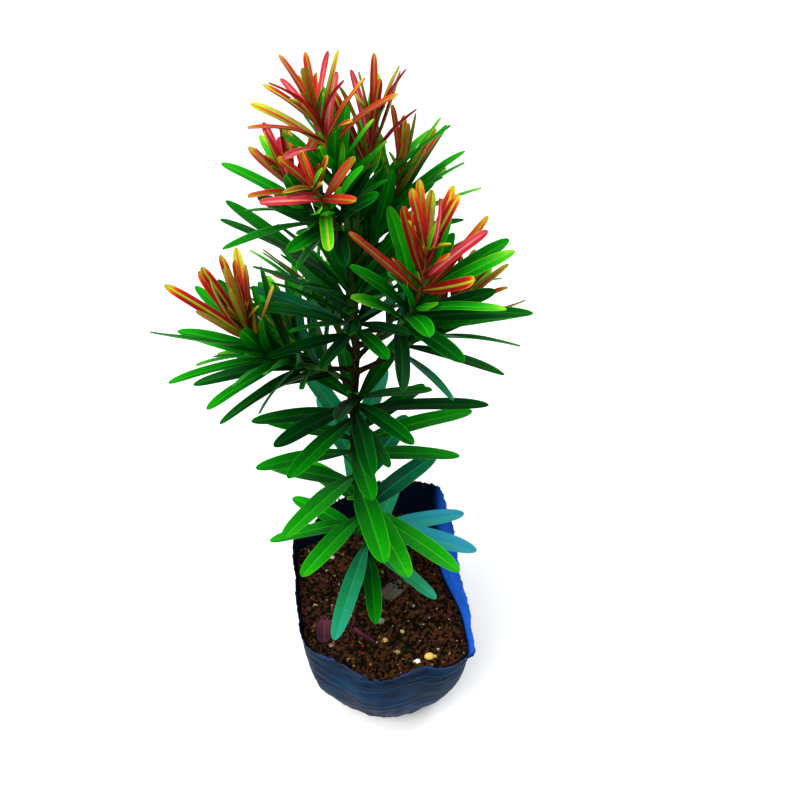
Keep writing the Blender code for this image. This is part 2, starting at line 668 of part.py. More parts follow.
def fuse(name, stem, leaves, stations, colour, roughness):
    """Join a stem and its leaves into one solid by one Boolean union on a collection."""
    item = add_object(name, *stem)
    group = bpy.data.collections.new(name + "_leaves")
    bpy.context.scene.collection.children.link(group)
    for number, leaf in enumerate(leaves):
        blade = add_object(f"{name}_leaf_{number}", *leaf_solid(leaf, stations))
        bpy.context.scene.collection.objects.unlink(blade)
        group.objects.link(blade)
    union = item.modifiers.new("union", "BOOLEAN")
    union.operation = "UNION"
    union.operand_type = "COLLECTION"
    union.collection = group
    union.solver = "EXACT"
    depsgraph = bpy.context.evaluated_depsgraph_get()
    joined = bpy.data.meshes.new_from_object(item.evaluated_get(depsgraph))
    item.modifiers.remove(union)
    item.data = joined
    for blade in list(group.objects):
        bpy.data.objects.remove(blade, do_unlink=True)
    bpy.data.collections.remove(group)
    shade_round(item)
    give_finish(item, colour, roughness)
    return item


def build_limbs(crown):
    """Build the trunk and the boughs, and give every stem its place in the crown."""
    trunk = build_trunk()
    points = [corner.co.copy() for corner in trunk.data.vertices]
    crown.add("trunk", points, [face.vertices[:] for face in trunk.data.polygons])
    lines = {}
    for shoot in SHOOTS:
        line = ShootLine(shoot)
        bare_end = shoot.bare / line.length
        slant = line.heading(0.0).xy.length if not shoot.bare else 0.0
        green_start = bare_end + (GAP + STEM_RADIUS * slant) / line.length
        green_end = (shoot.bare + shoot.green) / line.length
        flush_start = green_end + GAP / line.length
        lines[shoot.name] = (line, green_start, green_end, flush_start)
        if shoot.bare:
            rings = stem_rings(
                line, BOUGH_START, bare_end, BOUGH_FOOT_RADIUS, BOUGH_TIP_RADIUS, BOUGH_SIDES, BOUGH_STEPS)
            rings[0] = cut_to_trunk(rings[0], line, shoot.foot_z)
            item = add_object("bough_" + shoot.name, *tube(rings))
            shade_round(item)
            give_finish(item, BARK_BROWN, 0.75)
            crown.add(item.name, *tube(rings))
    for tier in TIERS:
        crown.add("leaves_" + tier.name, *sleeve(tier))
    return lines


def build():
    clear_scene()
    build_bag()
    build_soil()
    crown = Crown()
    lines = build_limbs(crown)
    stems = {}
    for shoot in SHOOTS:
        line, green_start, green_end, flush_start = lines[shoot.name]
        green = stem_rings(
            line, green_start, green_end, STEM_RADIUS, STEM_TIP_RADIUS, BOUGH_SIDES, STEM_STEPS)
        flush = stem_rings(
            line, flush_start, 1.0, STEM_TIP_RADIUS, FLUSH_TIP_RADIUS, BOUGH_SIDES, FLUSH_STEPS)
        stems["foliage_" + shoot.name] = tube(green)
        stems["flush_" + shoot.name] = tube(flush)
        crown.add("foliage_" + shoot.name, *tube(green))
        crown.add("flush_" + shoot.name, *tube(flush))
    for tier in TIERS:
        leaves = tier_leaves(crown, tier)
        fuse("leaves_" + tier.name, sleeve(tier), leaves, GREEN_STATIONS, BROAD_GREEN, 0.4)
    for shoot in SHOOTS:
        line, _, _, flush_start = lines[shoot.name]
        leaves = red_leaves(crown, shoot, line, flush_start)
        name = "flush_" + shoot.name
        fuse(name, stems[name], leaves, FLUSH_STATIONS, FLUSH_RED, 0.4)
    for shoot in SHOOTS:
        line, green_start, green_end, _ = lines[shoot.name]
        leaves = green_leaves(crown, shoot, line, green_start, green_end)
        name = "foliage_" + shoot.name
        fuse(name, stems[name], leaves, GREEN_STATIONS, LEAF_GREEN, 0.4)


build()
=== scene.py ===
# %% [markdown]
# # A young podocarpus in its nursery bag
#
# The plant is a small conifer with flat, narrow leaves. A thin woody trunk carries two whorls
# of boughs, and every bough ends in a flush of new leaves, red at first and green later.
# It still grows in the soft black bag that the nursery filled with soil.
#
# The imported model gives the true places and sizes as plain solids. This lesson builds the
# visible surfaces over them: film, soil, bark and leaves. All lengths are in metres.

from collections import namedtuple
from math import atan2, cos, degrees, pi, radians, sin, sqrt
from random import Random

import bmesh
import bpy
from mathutils import Matrix, Vector, noise
from mathutils.bvhtree import BVHTree


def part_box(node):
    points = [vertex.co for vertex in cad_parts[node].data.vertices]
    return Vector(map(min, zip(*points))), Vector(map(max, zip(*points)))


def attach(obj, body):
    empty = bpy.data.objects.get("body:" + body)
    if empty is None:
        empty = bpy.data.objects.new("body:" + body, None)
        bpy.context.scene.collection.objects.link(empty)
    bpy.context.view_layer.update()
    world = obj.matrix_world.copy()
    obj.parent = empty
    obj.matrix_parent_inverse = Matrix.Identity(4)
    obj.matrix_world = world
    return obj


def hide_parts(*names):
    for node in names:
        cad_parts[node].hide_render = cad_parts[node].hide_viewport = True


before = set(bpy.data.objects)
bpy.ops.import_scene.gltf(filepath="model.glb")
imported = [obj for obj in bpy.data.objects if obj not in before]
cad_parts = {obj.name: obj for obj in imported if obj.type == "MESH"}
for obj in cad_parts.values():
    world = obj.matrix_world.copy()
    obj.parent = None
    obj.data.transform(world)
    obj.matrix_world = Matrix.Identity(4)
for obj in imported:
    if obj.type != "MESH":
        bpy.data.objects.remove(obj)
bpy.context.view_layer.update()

# %% [markdown]
# ## Camera
#
# The picture was taken from about half a metre above the ground, looking down at 45 degrees.
# A 36 mm lens on a 36 mm wide sensor gives that view, with no shift and no depth of field.

# %% Set the camera
CAMERA_PLACE = (0.009, -0.2625, 0.515)
CAMERA_TILT = 45

camera_data = bpy.data.cameras.new("camera")
camera_data.lens = 36
camera_data.sensor_width = 36
camera_data.clip_start = 0.01
camera_data.clip_end = 50
camera = bpy.data.objects.new("camera", camera_data)
camera.location = CAMERA_PLACE
camera.rotation_euler = (radians(CAMERA_TILT), 0, 0)
bpy.context.scene.collection.objects.link(camera)
bpy.context.scene.camera = camera
print("Camera height:", camera.location.z)

# %% [markdown]
# ## Light and floor
#
# A studio would use one large soft lamp high on the left and a bright room to fill the shadows.
# The room is the world's colour, and the lamp is an area light, because its soft edge gives
# the leaves long highlights. The floor is pale and plain, and it isn't part of the object.

# %% Light the studio
WORLD_STRENGTH = 0.72
KEY_POWER = 16.0
PLANT_MIDDLE = (0, 0, 0.25)

studio = bpy.data.worlds.new("studio")
studio.use_nodes = True
background = studio.node_tree.nodes["Background"].inputs
background["Color"].default_value = (0.93, 0.96, 1.0, 1.0)
background["Strength"].default_value = WORLD_STRENGTH
bpy.context.scene.world = studio
bpy.context.scene.view_settings.view_transform = "Standard"


def add_lamp(name, place, target, size, power, colour):
    """A square soft lamp at a place, turned towards a target."""
    lamp = bpy.data.lights.new(name, "AREA")
    lamp.size = size
    lamp.energy = power
    lamp.color = colour
    item = bpy.data.objects.new(name, lamp)
    item.location = place
    item.rotation_euler = (Vector(target) - Vector(place)).to_track_quat("-Z", "Y").to_euler()
    bpy.context.scene.collection.objects.link(item)


add_lamp("key_lamp", (-0.45, -0.45, 1.10), PLANT_MIDDLE, 0.8, KEY_POWER, (1.0, 0.97, 0.92))
add_lamp("rim_lamp", (0.55, 0.60, 0.80), PLANT_MIDDLE, 0.4, KEY_POWER * 0.25, (0.92, 0.96, 1.0))
add_lamp("back_lamp", (0.0, 1.9, 1.4), (0.0, 1.7, 0.0), 1.8, KEY_POWER, (1.0, 1.0, 1.0))
print("Lamps:", len(bpy.data.lights))


# %% Lay the floor
def plain(name, colour, roughness, specular):
    """A material of one plain colour."""
    material = bpy.data.materials.new(name)
    material.use_nodes = True
    shader = material.node_tree.nodes["Principled BSDF"]
    shader.inputs["Base Color"].default_value = (*colour, 1.0)
    shader.inputs["Roughness"].default_value = roughness
    shader.inputs["Specular IOR Level"].default_value = specular
    material.diffuse_color = (*colour, 1.0)
    return material


def add_mesh(name, points, faces, materials, tones=None):
    """A mesh object from points and faces; tones gives each face's place in the materials."""
    mesh = bpy.data.meshes.new(name)
    mesh.from_pydata([tuple(point) for point in points], [], faces)
    for material in materials:
        mesh.materials.append(material)
    if tones:
        mesh.polygons.foreach_set("material_index", tones)
    item = bpy.data.objects.new(name, mesh)
    bpy.context.scene.collection.objects.link(item)
    return item


def shade_round(item, angle):
    """Shade a mesh smooth, except across edges sharper than an angle in degrees."""
    item.data.shade_smooth()
    item.data.set_sharp_from_angle(angle=radians(angle))


FLOOR_HALF = 4.0
FLOOR_CORNERS = ((-1, -1), (1, -1), (1, 1), (-1, 1))
FLOOR_COLOUR = (0.94, 0.94, 0.94)
floor = add_mesh(
    "floor", [(FLOOR_HALF * x, FLOOR_HALF * y, 0) for x, y in FLOOR_CORNERS], [(0, 1, 2, 3)],
    [plain("floor_paint", FLOOR_COLOUR, 0.9, 0.1)])
print("Floor side:", 2 * FLOOR_HALF)

# %% [markdown]
# ## The rule of the bag
#
# The bag is round at its foot and pulled out of round at its mouth. A short table says how far
# the film lies from the middle and how high its torn edge stands, all the way round.
# The same table shaped the solids, so the film lies where the solid bag is.

# %% Name the bag's sizes
BAG_FOOT_RADIUS = 0.041
BAG_HEM = 0.003
BAG_TURN_IN = 0.0025
BAG_TURN_UP = 0.0008
BAG_BULGE = 0.006
BAG_TEAR = 0.0010
SOIL_LEVEL = 0.095
SOIL_RELIEF = 0.0012
SOIL_HOLLOW = 0.0028
UP = Vector((0, 0, 1))
# Mouth of the bag: azimuth in degrees, film radius at the soil, radius and height of the rim
BAG_MOUTH = (
    (0, 0.037, 0.0434, 0.117), (20, 0.0355, 0.0440, 0.119), (33, 0.039, 0.0475, 0.121),
    (46, 0.0465, 0.0533, 0.123), (54, 0.0525, 0.0585, 0.125), (58.5, 0.0555, 0.0612, 0.126),
    (64, 0.0555, 0.0590, 0.1265), (72, 0.0555, 0.0577, 0.127), (92, 0.054, 0.055, 0.127),
    (120, 0.052, 0.053, 0.122), (142, 0.053, 0.053, 0.116), (155, 0.0592, 0.0600, 0.112),
    (182, 0.052, 0.053, 0.108), (205, 0.0535, 0.0545, 0.104), (223, 0.0595, 0.0605, 0.101),
    (243, 0.057, 0.058, 0.100), (251, 0.0580, 0.0590, 0.100), (259, 0.0608, 0.0621, 0.100),
    (270, 0.0608, 0.0622, 0.100), (281, 0.0595, 0.0605, 0.1003), (292, 0.0585, 0.0594, 0.1006),
    (301, 0.0630, 0.0650, 0.1006), (309, 0.0648, 0.0670, 0.1010), (314, 0.0655, 0.0686, 0.1014),
    (317, 0.0650, 0.0690, 0.1018), (320, 0.0620, 0.0650, 0.1024), (326, 0.0560, 0.0588, 0.1038),
    (334, 0.0500, 0.0535, 0.1070), (344, 0.0435, 0.0480, 0.1125),
)


def clamp(value):
    """The value, kept between 0 and 1."""
    return max(0.0, min(1.0, value))


def outward_at(azimuth):
    """The level direction at an azimuth in degrees."""
    turn = radians(azimuth)
    return Vector((cos(turn), sin(turn), 0.0))


def ease(rows, place, column, period=None):
    """Read one column of a table at a place, on a smooth curve through its rows."""
    if period:
        before = (rows[-1][0] - period, *rows[-1][1:])
        rows = [before, *rows, *[(row[0] + period, *row[1:]) for row in rows[:2]]]
        place = place % period
        if place < rows[1][0]:
            place += period
    spot = 0
    while spot < len(rows) - 2 and place > rows[spot + 1][0]:
        spot += 1
    low = rows[spot]
    high = rows[spot + 1]
    left = rows[max(spot - 1, 0)]
    right = rows[min(spot + 2, len(rows) - 1)]
    span = high[0] - low[0]
    t = (place - low[0]) / span
    start_slope = (high[column] - left[column]) / (high[0] - left[0]) * span
    end_slope = (right[column] - low[column]) / (right[0] - low[0]) * span
    step = high[column] - low[column]
    return (low[column] + start_slope * t
            + (3 * step - 2 * start_slope - end_slope) * t ** 2
            + (start_slope + end_slope - 2 * step) * t ** 3)


print("Rim height at the back:", round(ease(BAG_MOUTH, 90, 3, 360), 4))

# %% [markdown]
# ## The film's creases
#
# Thin film creases in bands where the soil stretches it, gathers in pleats at the foot and
# waves freely above the soil. Smooth noise, squeezed in height and stretched round the bag,
# makes the bands. Its ridges are sharper than its valleys, as creases in film are.

# %% Shape the creases
FILM_COLUMNS = 600
FILM_WALL_ROWS = 64
FILM_RIM_ROWS = 14
FILM_THICKNESS = 0.00025
CREASE_DEPTH = 0.00058
DENT_DEPTH = 0.0016
WAVE_DEPTH = 0.0012
WARP_HEIGHT = 0.010
PLEAT_DEPTH = 0.0007
PLEATS = 26
FREE_FROM_SOIL = 0.012
# Noise on the film: its reach round the bag, its rate up the film, and its layer
WARP = (1.6, 9, 1)
BANDS = (1.3, 105, 2)
FINE_BANDS = (3.2, 230, 3)
DENTS = (2.2, 24, 4)
WAVES = (4.0, 10, 5)
PLEAT_DRIFT = (2.0, 0, 6)
RIM_SWAY = (7, 0, 7)
RIM_FRAY = (24, 0, 8)
RIM_NICKS = (17, 0, 9)
RIM_TAGS = (46, 0, 10)
RIM_CURL = (30, 0, 11)
LAYER_STEP = 7.3
SWAY_HEIGHT = 0.0011
FRAY_HEIGHT = 0.0016
TAG_HEIGHT = 0.0012
NICK_HEIGHT = 0.009
NICK_FROM = 0.28
CURL_WIDTH = 0.0007


def film_noise(azimuth, height, layer):
    """Smooth noise on the film that comes round to itself after a full turn."""
    reach, rate, number = layer
    turn = radians(azimuth)
    return noise.noise(Vector((cos(turn) * reach, sin(turn) * reach, height * rate + LAYER_STEP * number)))


def ridge(value):
    """Turn smooth noise into narrow ridges, from 0 to 1."""
    return (1 - min(1.0, abs(value) * 2.2)) ** 2


def creases(azimuth, height):
    """How far the film stands out of its plain shape at a place."""
    level = clamp(height / SOIL_LEVEL)
    free = clamp((height - SOIL_LEVEL) / FREE_FROM_SOIL)
    warped = height + film_noise(azimuth, height, WARP) * WARP_HEIGHT
    bands = ridge(film_noise(azimuth, warped, BANDS))
    fine = ridge(film_noise(azimuth, warped, FINE_BANDS))
    dents = film_noise(azimuth, height, DENTS)
    pleat = sin(PLEATS * radians(azimuth) + 3 * film_noise(azimuth, 0, PLEAT_DRIFT))
    out = CREASE_DEPTH * (bands * 0.75 + fine * 0.35) * (1 - 0.6 * free)
    out += DENT_DEPTH * dents * (0.35 + 0.65 * sin(pi * level) + 0.3 * free)
    out += PLEAT_DEPTH * pleat * (1 - level) ** 2
    return out + WAVE_DEPTH * film_noise(azimuth, height, WAVES) * free


def film_rim(azimuth):
    """Radius and height of the rim, with its tears and nicks."""
    turn = radians(azimuth)
    height = ease(BAG_MOUTH, azimuth, 3, 360)
    height += BAG_TEAR * (0.6 * sin(9 * turn) + 0.4 * sin(14 * turn + 1.0))
    height += SWAY_HEIGHT * film_noise(azimuth, 0, RIM_SWAY)
    height += FRAY_HEIGHT * film_noise(azimuth, 0, RIM_FRAY)
    height += TAG_HEIGHT * ridge(film_noise(azimuth, 0, RIM_TAGS))
    height -= NICK_HEIGHT * max(0.0, film_noise(azimuth, 0, RIM_NICKS) - NICK_FROM)
    return ease(BAG_MOUTH, azimuth, 2, 360) + CURL_WIDTH * film_noise(azimuth, 0, RIM_CURL), height


def film_radius(azimuth, height):
    """Outer radius of the film at a height, from the hem up to the rim."""
    soil_radius = ease(BAG_MOUTH, azimuth, 1, 360)
    if height <= SOIL_LEVEL:
        level = (height - BAG_HEM) / (SOIL_LEVEL - BAG_HEM)
        radius = BAG_FOOT_RADIUS + (soil_radius - BAG_FOOT_RADIUS) * level
        radius += BAG_BULGE * sin(pi * max(0.0, level))
    else:
        rim_radius, rim_height = film_rim(azimuth)
        share = (height - SOIL_LEVEL) / max(0.003, rim_height - SOIL_LEVEL)
        radius = soil_radius + (rim_radius - soil_radius) * min(1.0, share)
    return radius + creases(azimuth, height)


print("Crease at the front:", round(1000 * creases(270, 0.06), 2), "mm")

# %% [markdown]
# ## The film as one closed skin
#
# The film is an outer and an inner wall a quarter of a millimetre apart, joined over the rim.
# It has its own flat map, unrolled like a label, so that its dust can be painted evenly.


# %% Build the film
def film_heights(azimuth):
    """Heights of the film's rows at one azimuth, from the hem to the rim."""
    wall_step = (SOIL_LEVEL - BAG_HEM) / FILM_WALL_ROWS
    rim_step = (film_rim(azimuth)[1] - SOIL_LEVEL) / FILM_RIM_ROWS
    wall = [BAG_HEM + wall_step * row for row in range(FILM_WALL_ROWS)]
    return wall + [SOIL_LEVEL + rim_step * row for row in range(FILM_RIM_ROWS + 1)]


def film_column(azimuth, inset):
    """Points up one side of the film, from its turned-in foot to its rim."""
    outward = outward_at(azimuth)
    spots = [(BAG_FOOT_RADIUS - BAG_TURN_IN, inset),
             (BAG_FOOT_RADIUS - BAG_TURN_IN * 0.3, BAG_TURN_UP + inset)]
    spots += [(film_radius(azimuth, height), height) for height in film_heights(azimuth)]
    return [outward * (radius - inset) + UP * height for radius, height in spots]


def strip_faces(first, second, count):
    """Quads between two rings of points that start at the given indices."""
    sides = [(side, (side + 1) % count) for side in range(count)]
    return [(first + side, first + turn, second + turn, second + side) for side, turn in sides]


def tube(rings, tip=None):
    """Points and faces of a closed solid through rings, with a flat end or a pointed tip."""
    count = len(rings[0])
    last = (len(rings) - 1) * count
    points = [point for ring in rings for point in ring]
    faces = [tuple(range(count))[::-1]]
    for start in range(0, last, count):
        faces += strip_faces(start, start + count, count)
    if tip is None:
        return points, faces + [tuple(range(last, last + count))]
    faces += [(last + side, last + (side + 1) % count, len(points)) for side in range(count)]
    return points + [tip], faces


def walk_corners(item, columns):
    """Each face's corners on a mesh built ring by ring: face, corner, ring and column.

    Columns count on past the seam in the faces that cross it."""
    for face in item.data.polygons:
        spots = [divmod(item.data.loops[corner].vertex_index, columns) for corner in face.loop_indices]
        sides = [side for _, side in spots]
        wraps = max(sides) - min(sides) > columns / 2
        for corner, (ring, side) in zip(face.loop_indices, spots):
            yield face, corner, ring, side + (columns if wraps and side < columns / 2 else 0)


def unroll(item, columns, rings):
    """Give a mesh built ring by ring a flat map, one tall strip for each side of a ring."""
    layer = item.data.uv_layers.new(name="OFBake")
    margin = 0.01
    for face, corner, ring, column in walk_corners(item, columns):
        if len(face.vertices) > 4:
            size = 0.002 * (ring + 1) / rings
            side = column % columns
            place = (0.004 + size * cos(side), 0.004 + size * sin(side))
        else:
            place = (column / columns, ring / (rings - 1))
        layer.data[corner].uv = [margin + (1 - 2 * margin) * value for value in place]


def build_film():
    """The bag's film: outer wall up, over the rim, and down the inner wall."""
    azimuths = [360 * column / FILM_COLUMNS for column in range(FILM_COLUMNS)]
    columns = [film_column(azimuth, 0.0) + film_column(azimuth, FILM_THICKNESS)[::-1]
               for azimuth in azimuths]
    rings = list(zip(*columns))
    item = add_mesh("bag_film", *tube(rings), [])
    unroll(item, FILM_COLUMNS, len(rings))
    shade_round(item, 50)
    return item


film = build_film()
print("Film faces:", len(film.data.polygons))

# %% [markdown]
# ## The film's finish
#
# New film is glossy and nearly black. Where light grazes or shines through its edge it looks blue, and here
# that is painted light: a blue band along the front of the rim.
# In use it gathers pale dust along its creases and brown soil near the ground; its slate streaks there are
# partly that dust and partly painted highlights.
# On the right the film leans out, and the sky's bright blue reflection on its inside is painted there.


# %% Paint the film
class Recipe:
    """A short way to write a material's nodes: each call adds a node and wires its inputs."""

    def __init__(self, name, roughness, specular):
        self.material = plain(name, (0.5, 0.5, 0.5), roughness, specular)
        self.nodes = self.material.node_tree.nodes
        self.links = self.material.node_tree.links
        self.shader = self.nodes["Principled BSDF"]
        self.place = self.nodes.new("ShaderNodeTexCoord").outputs["Object"]

    def add(self, kind, values, output, **settings):
        """Add a node, wire or set its inputs, and return one of its outputs."""
        node = self.nodes.new("ShaderNode" + kind)
        for name, setting in settings.items():
            setattr(node, name, setting)
        for key, value in values.items():
            socket = node.inputs[key]
            if isinstance(value, bpy.types.NodeSocket):
                self.links.new(value, socket)
            else:
                socket.default_value = (*value, 1.0) if socket.type == "RGBA" else value
        return node.outputs[output]

    def stretch(self, scale):
        """The place on the object, stretched by a scale along each axis."""
        return self.add("Mapping", {"Vector": self.place, "Scale": scale}, "Vector")

    def grain(self, place, scale, detail=4.0, roughness=0.55):
        """Smooth noise from 0 to 1."""
        values = {"Vector": place, "Scale": scale, "Detail": detail, "Roughness": roughness}
        return self.add("TexNoise", values, "Fac")

    def between(self, value, low, high, start=0.0, end=1.0):
        """Map a value from one range to another, and clamp it there."""
        values = dict(enumerate((value, low, high, start, end)))
        return self.add("MapRange", values, "Result", interpolation_type="SMOOTHSTEP")

    def times(self, first, second):
        """The product of two values."""
        return self.add("Math", {0: first, 1: second}, "Value", operation="MULTIPLY")

    def axis(self, name):
        """One coordinate of the place on the object."""
        return self.add("SeparateXYZ", {"Vector": self.place}, name)

    def mix(self, factor, first, second):
        """Blend two colours, each a plain triple or the output of another node."""
        return self.add("Mix", {"Factor": factor, 6: first, 7: second}, 2, data_type="RGBA")

    def finish(self, colour, roughness, height, strength, distance):
        """Wire the colour, roughness and bump to the shader."""
        self.links.new(colour, self.shader.inputs["Base Color"])
        if roughness is not None:
            self.links.new(roughness, self.shader.inputs["Roughness"])
        bump = self.add("Bump", {"Strength": strength, "Distance": distance, "Height": height}, "Normal")
        self.links.new(bump, self.shader.inputs["Normal"])
        return self.material


FILM_NAVY = (0.0005, 0.004, 0.017)
FILM_BLUE = (0.0005, 0.016, 0.056)
FILM_SLATE = (0.004, 0.046, 0.100)
FILM_DUST = (0.080, 0.036, 0.026)
FILM_PAINTED_EDGE_LIGHT = (0.002, 0.040, 0.200)
FILM_BLACK = (0.001, 0.003, 0.010)
FILM_DEEP = (0.001, 0.013, 0.045)
FILM_PAINTED_SKY_REFLECTION = (0.020, 0.160, 0.880)


def film_outside():
    """The outer wall: navy film with slate streaks along the creases, partly dust and partly painted
    highlights, brown dust low down, and painted light in a blue band on the front of the rim.
    """
    recipe = Recipe("film_outside", 0.40, 0.01)
    banded = recipe.stretch((11.0, 11.0, 190.0))
    streaks = recipe.between(recipe.grain(banded, 3.0, 5.0, 0.66), 0.50, 0.62)
    broad = recipe.between(recipe.grain(recipe.place, 26.0, 3.0), 0.40, 0.66)
    colour = recipe.mix(broad, FILM_NAVY, FILM_BLUE)
    # Painted highlights and dust: pale slate streaks along the creases stand partly for the gloss on them.
    colour = recipe.mix(recipe.times(streaks, 0.85), colour, FILM_SLATE)
    low = recipe.between(recipe.axis("Z"), 0.058, 0.012)
    specks = recipe.between(recipe.grain(recipe.place, 260.0, 4.0, 0.7), 0.56, 0.62)
    colour = recipe.mix(recipe.times(low, specks), colour, FILM_DUST)
    # Painted light: a bright blue band, in patches, along the front of the rim, where light shines through
    # the film's edge.
    mouth = recipe.between(recipe.axis("Z"), 0.0960, 0.1000)
    front = recipe.between(recipe.axis("Y"), -0.018, -0.040)
    edge_light_patches = recipe.between(recipe.grain(recipe.place, 90.0, 3.0), 0.40, 0.58)
    colour = recipe.mix(recipe.times(recipe.times(mouth, front), edge_light_patches), colour, FILM_PAINTED_EDGE_LIGHT)
    roughness = recipe.between(streaks, 0.0, 1.0, 0.38, 0.62)
    return recipe.finish(colour, roughness, recipe.grain(banded, 8.0, 4.0), 0.35, 0.0006)


def film_inside():
    """The inner wall: nearly black, with a painted reflection of the sky in bright blue where it leans out
    on the right.
    """
    recipe = Recipe("film_inside", 0.42, 0.08)
    soft = recipe.grain(recipe.stretch((30.0, 30.0, 90.0)), 1.5, 4.0)
    # Painted reflection: the inner wall on the right, above the soil, is painted bright blue for the sky
    # that it reflects.
    side = recipe.between(recipe.axis("X"), 0.030, 0.036)
    behind = recipe.between(recipe.axis("Y"), -0.050, -0.043)
    sky_reflection_mask = recipe.times(side, behind)
    high = recipe.between(recipe.axis("Z"), 0.094, 0.099)
    shade = recipe.between(soft, 0.30, 0.70, 0.72, 1.0)
    left = recipe.between(recipe.axis("X"), -0.030, -0.048, 0.3, 1.0)
    colour = recipe.mix(recipe.times(soft, left), FILM_BLACK, FILM_DEEP)
    colour = recipe.mix(recipe.times(recipe.times(sky_reflection_mask, high), shade), colour, FILM_PAINTED_SKY_REFLECTION)
    return recipe.finish(colour, recipe.between(soft, 0.2, 0.8, 0.34, 0.52), soft, 0.3, 0.0006)


film.data.materials.append(film_outside())
film.data.materials.append(film_inside())
film_turn = FILM_COLUMNS * (FILM_WALL_ROWS + FILM_RIM_ROWS + 3)
for face in film.data.polygons:
    face.material_index = 1 if min(face.vertices) >= film_turn - FILM_COLUMNS else 0
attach(film, "root")
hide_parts("bag")
print("Film finishes:", len(film.data.materials))

# %% [markdown]
# ## Soil
#
# The soil is a plug that fills the film. Its top is uneven: two low waves, a hollow ring between
# the trunk and the film, clods and crumbs. Waves and layers of noise give it as real geometry.
# It has its own flat map, too: the top from above, and the side unrolled below it.

# %% Build the soil
SOIL_INSET = 0.0011
SOIL_COLUMNS = 240
SOIL_TOP_RINGS = 64
SOIL_SIDE_RINGS = 12
SOIL_FOOT = 0.0035
SOIL_EDGE = SOIL_LEVEL - 0.006
SOIL_LIFT = 0.0004
CLOD_SIZE = 0.0011
CRUMB_SIZE = 0.0007
SOIL_MAP_SCALE = 0.38 / 0.075


def soil_height(azimuth, share):
    """Height of the soil's uneven top; share is 0 at the trunk and 1 at the film."""
    turn = radians(azimuth)
    waves = 0.6 * sin(2 * turn + 0.8) + 0.4 * sin(5 * turn + 2.0)
    hollow = SOIL_HOLLOW * sin(pi * share) ** 2
    return SOIL_LEVEL - hollow + SOIL_RELIEF * sin(pi * share) * waves


def soil_top(azimuth, place, share):
    """The same height with clods and crumbs on it."""
    clods = noise.noise(place * 190 + Vector((3, 1, 0))) * CLOD_SIZE
    crumbs = noise.noise(place * 520 + Vector((0, 5, 2))) * CRUMB_SIZE
    return soil_height(azimuth, share) + SOIL_LIFT + clods + crumbs


def build_soil():
    """The soil plug: side rings from the foot up, then rings of the top inwards."""
    azimuths = [360 * column / SOIL_COLUMNS for column in range(SOIL_COLUMNS)]
    rings = []
    for step in range(SOIL_SIDE_RINGS):
        height = SOIL_FOOT + (SOIL_EDGE - SOIL_FOOT) * step / (SOIL_SIDE_RINGS - 1)
        rings.append([outward_at(azimuth) * (film_radius(azimuth, height) - SOIL_INSET) + UP * height
                      for azimuth in azimuths])
    edges = [outward_at(azimuth) * (film_radius(azimuth, SOIL_LEVEL) - SOIL_INSET) for azimuth in azimuths]
    for step in range(SOIL_TOP_RINGS):
        share = 1 - step / SOIL_TOP_RINGS
        rings.append([edge * share + UP * soil_top(azimuth, edge * share, share)
                      for azimuth, edge in zip(azimuths, edges)])
    return add_mesh("soil_fill", *tube(rings, UP * soil_top(0, Vector(), 0)), [])


def map_soil(item):
    """Map the top from above in the upper part of the square, and the side below it."""
    layer = item.data.uv_layers.new(name="OFBake")
    for face, corner, _, column in walk_corners(item, SOIL_COLUMNS):
        point = item.data.vertices[item.data.loops[corner].vertex_index].co
        if min(face.vertices) >= SOIL_COLUMNS * (SOIL_SIDE_RINGS - 1):
            place = (0.5 + SOIL_MAP_SCALE * point.x, 0.59 + SOIL_MAP_SCALE * point.y)
        elif len(face.vertices) > 4:
            place = (0.05 + 0.5 * point.x, 0.05 + 0.5 * point.y)
        else:
            place = (0.1 + 0.89 * column / SOIL_COLUMNS, 0.01 + 1.5 * point.z)
        layer.data[corner].uv = place


soil = build_soil()
map_soil(soil)
shade_round(soil, 60)
print("Soil faces:", len(soil.data.polygons))

# %% Colour the soil
SOIL_DARK_AND_SHADE = (0.008, 0.004, 0.003)
SOIL_RED = (0.060, 0.018, 0.008)
SOIL_OCHRE = (0.130, 0.055, 0.018)


def soil_finish():
    """Dark moist soil with red-brown and ochre crumbs; its darkest random patches are partly painted shade.
    """
    recipe = Recipe("moist_soil", 0.92, 0.08)
    coarse = recipe.grain(recipe.place, 170.0, 5.0, 0.65)
    small = recipe.grain(recipe.place, 620.0, 4.0, 0.7)
    # Partly painted shade: random near-black patches deepen the soil's own dark colour.
    colour = recipe.mix(recipe.between(coarse, 0.42, 0.64), SOIL_DARK_AND_SHADE, SOIL_RED)
    colour = recipe.mix(recipe.between(small, 0.58, 0.70, 0.0, 0.8), colour, SOIL_OCHRE)
    return recipe.finish(colour, recipe.between(coarse, 0.3, 0.7, 0.72, 0.98), small, 0.6, 0.0006)


soil.data.materials.append(soil_finish())
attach(soil, "root")
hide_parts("soil")
print("Soil finish:", soil.data.materials[0].name)

# %% [markdown]
# ## Crumbs and grit
#
# Loose crumbs lie on the soil by the thousand. A Geometry Nodes tree scatters them: it deals
# points over the soil's top, sets a small lump on each, and turns and squashes each lump.
# One tree serves all five kinds, because its sizes, seed and material are named inputs.


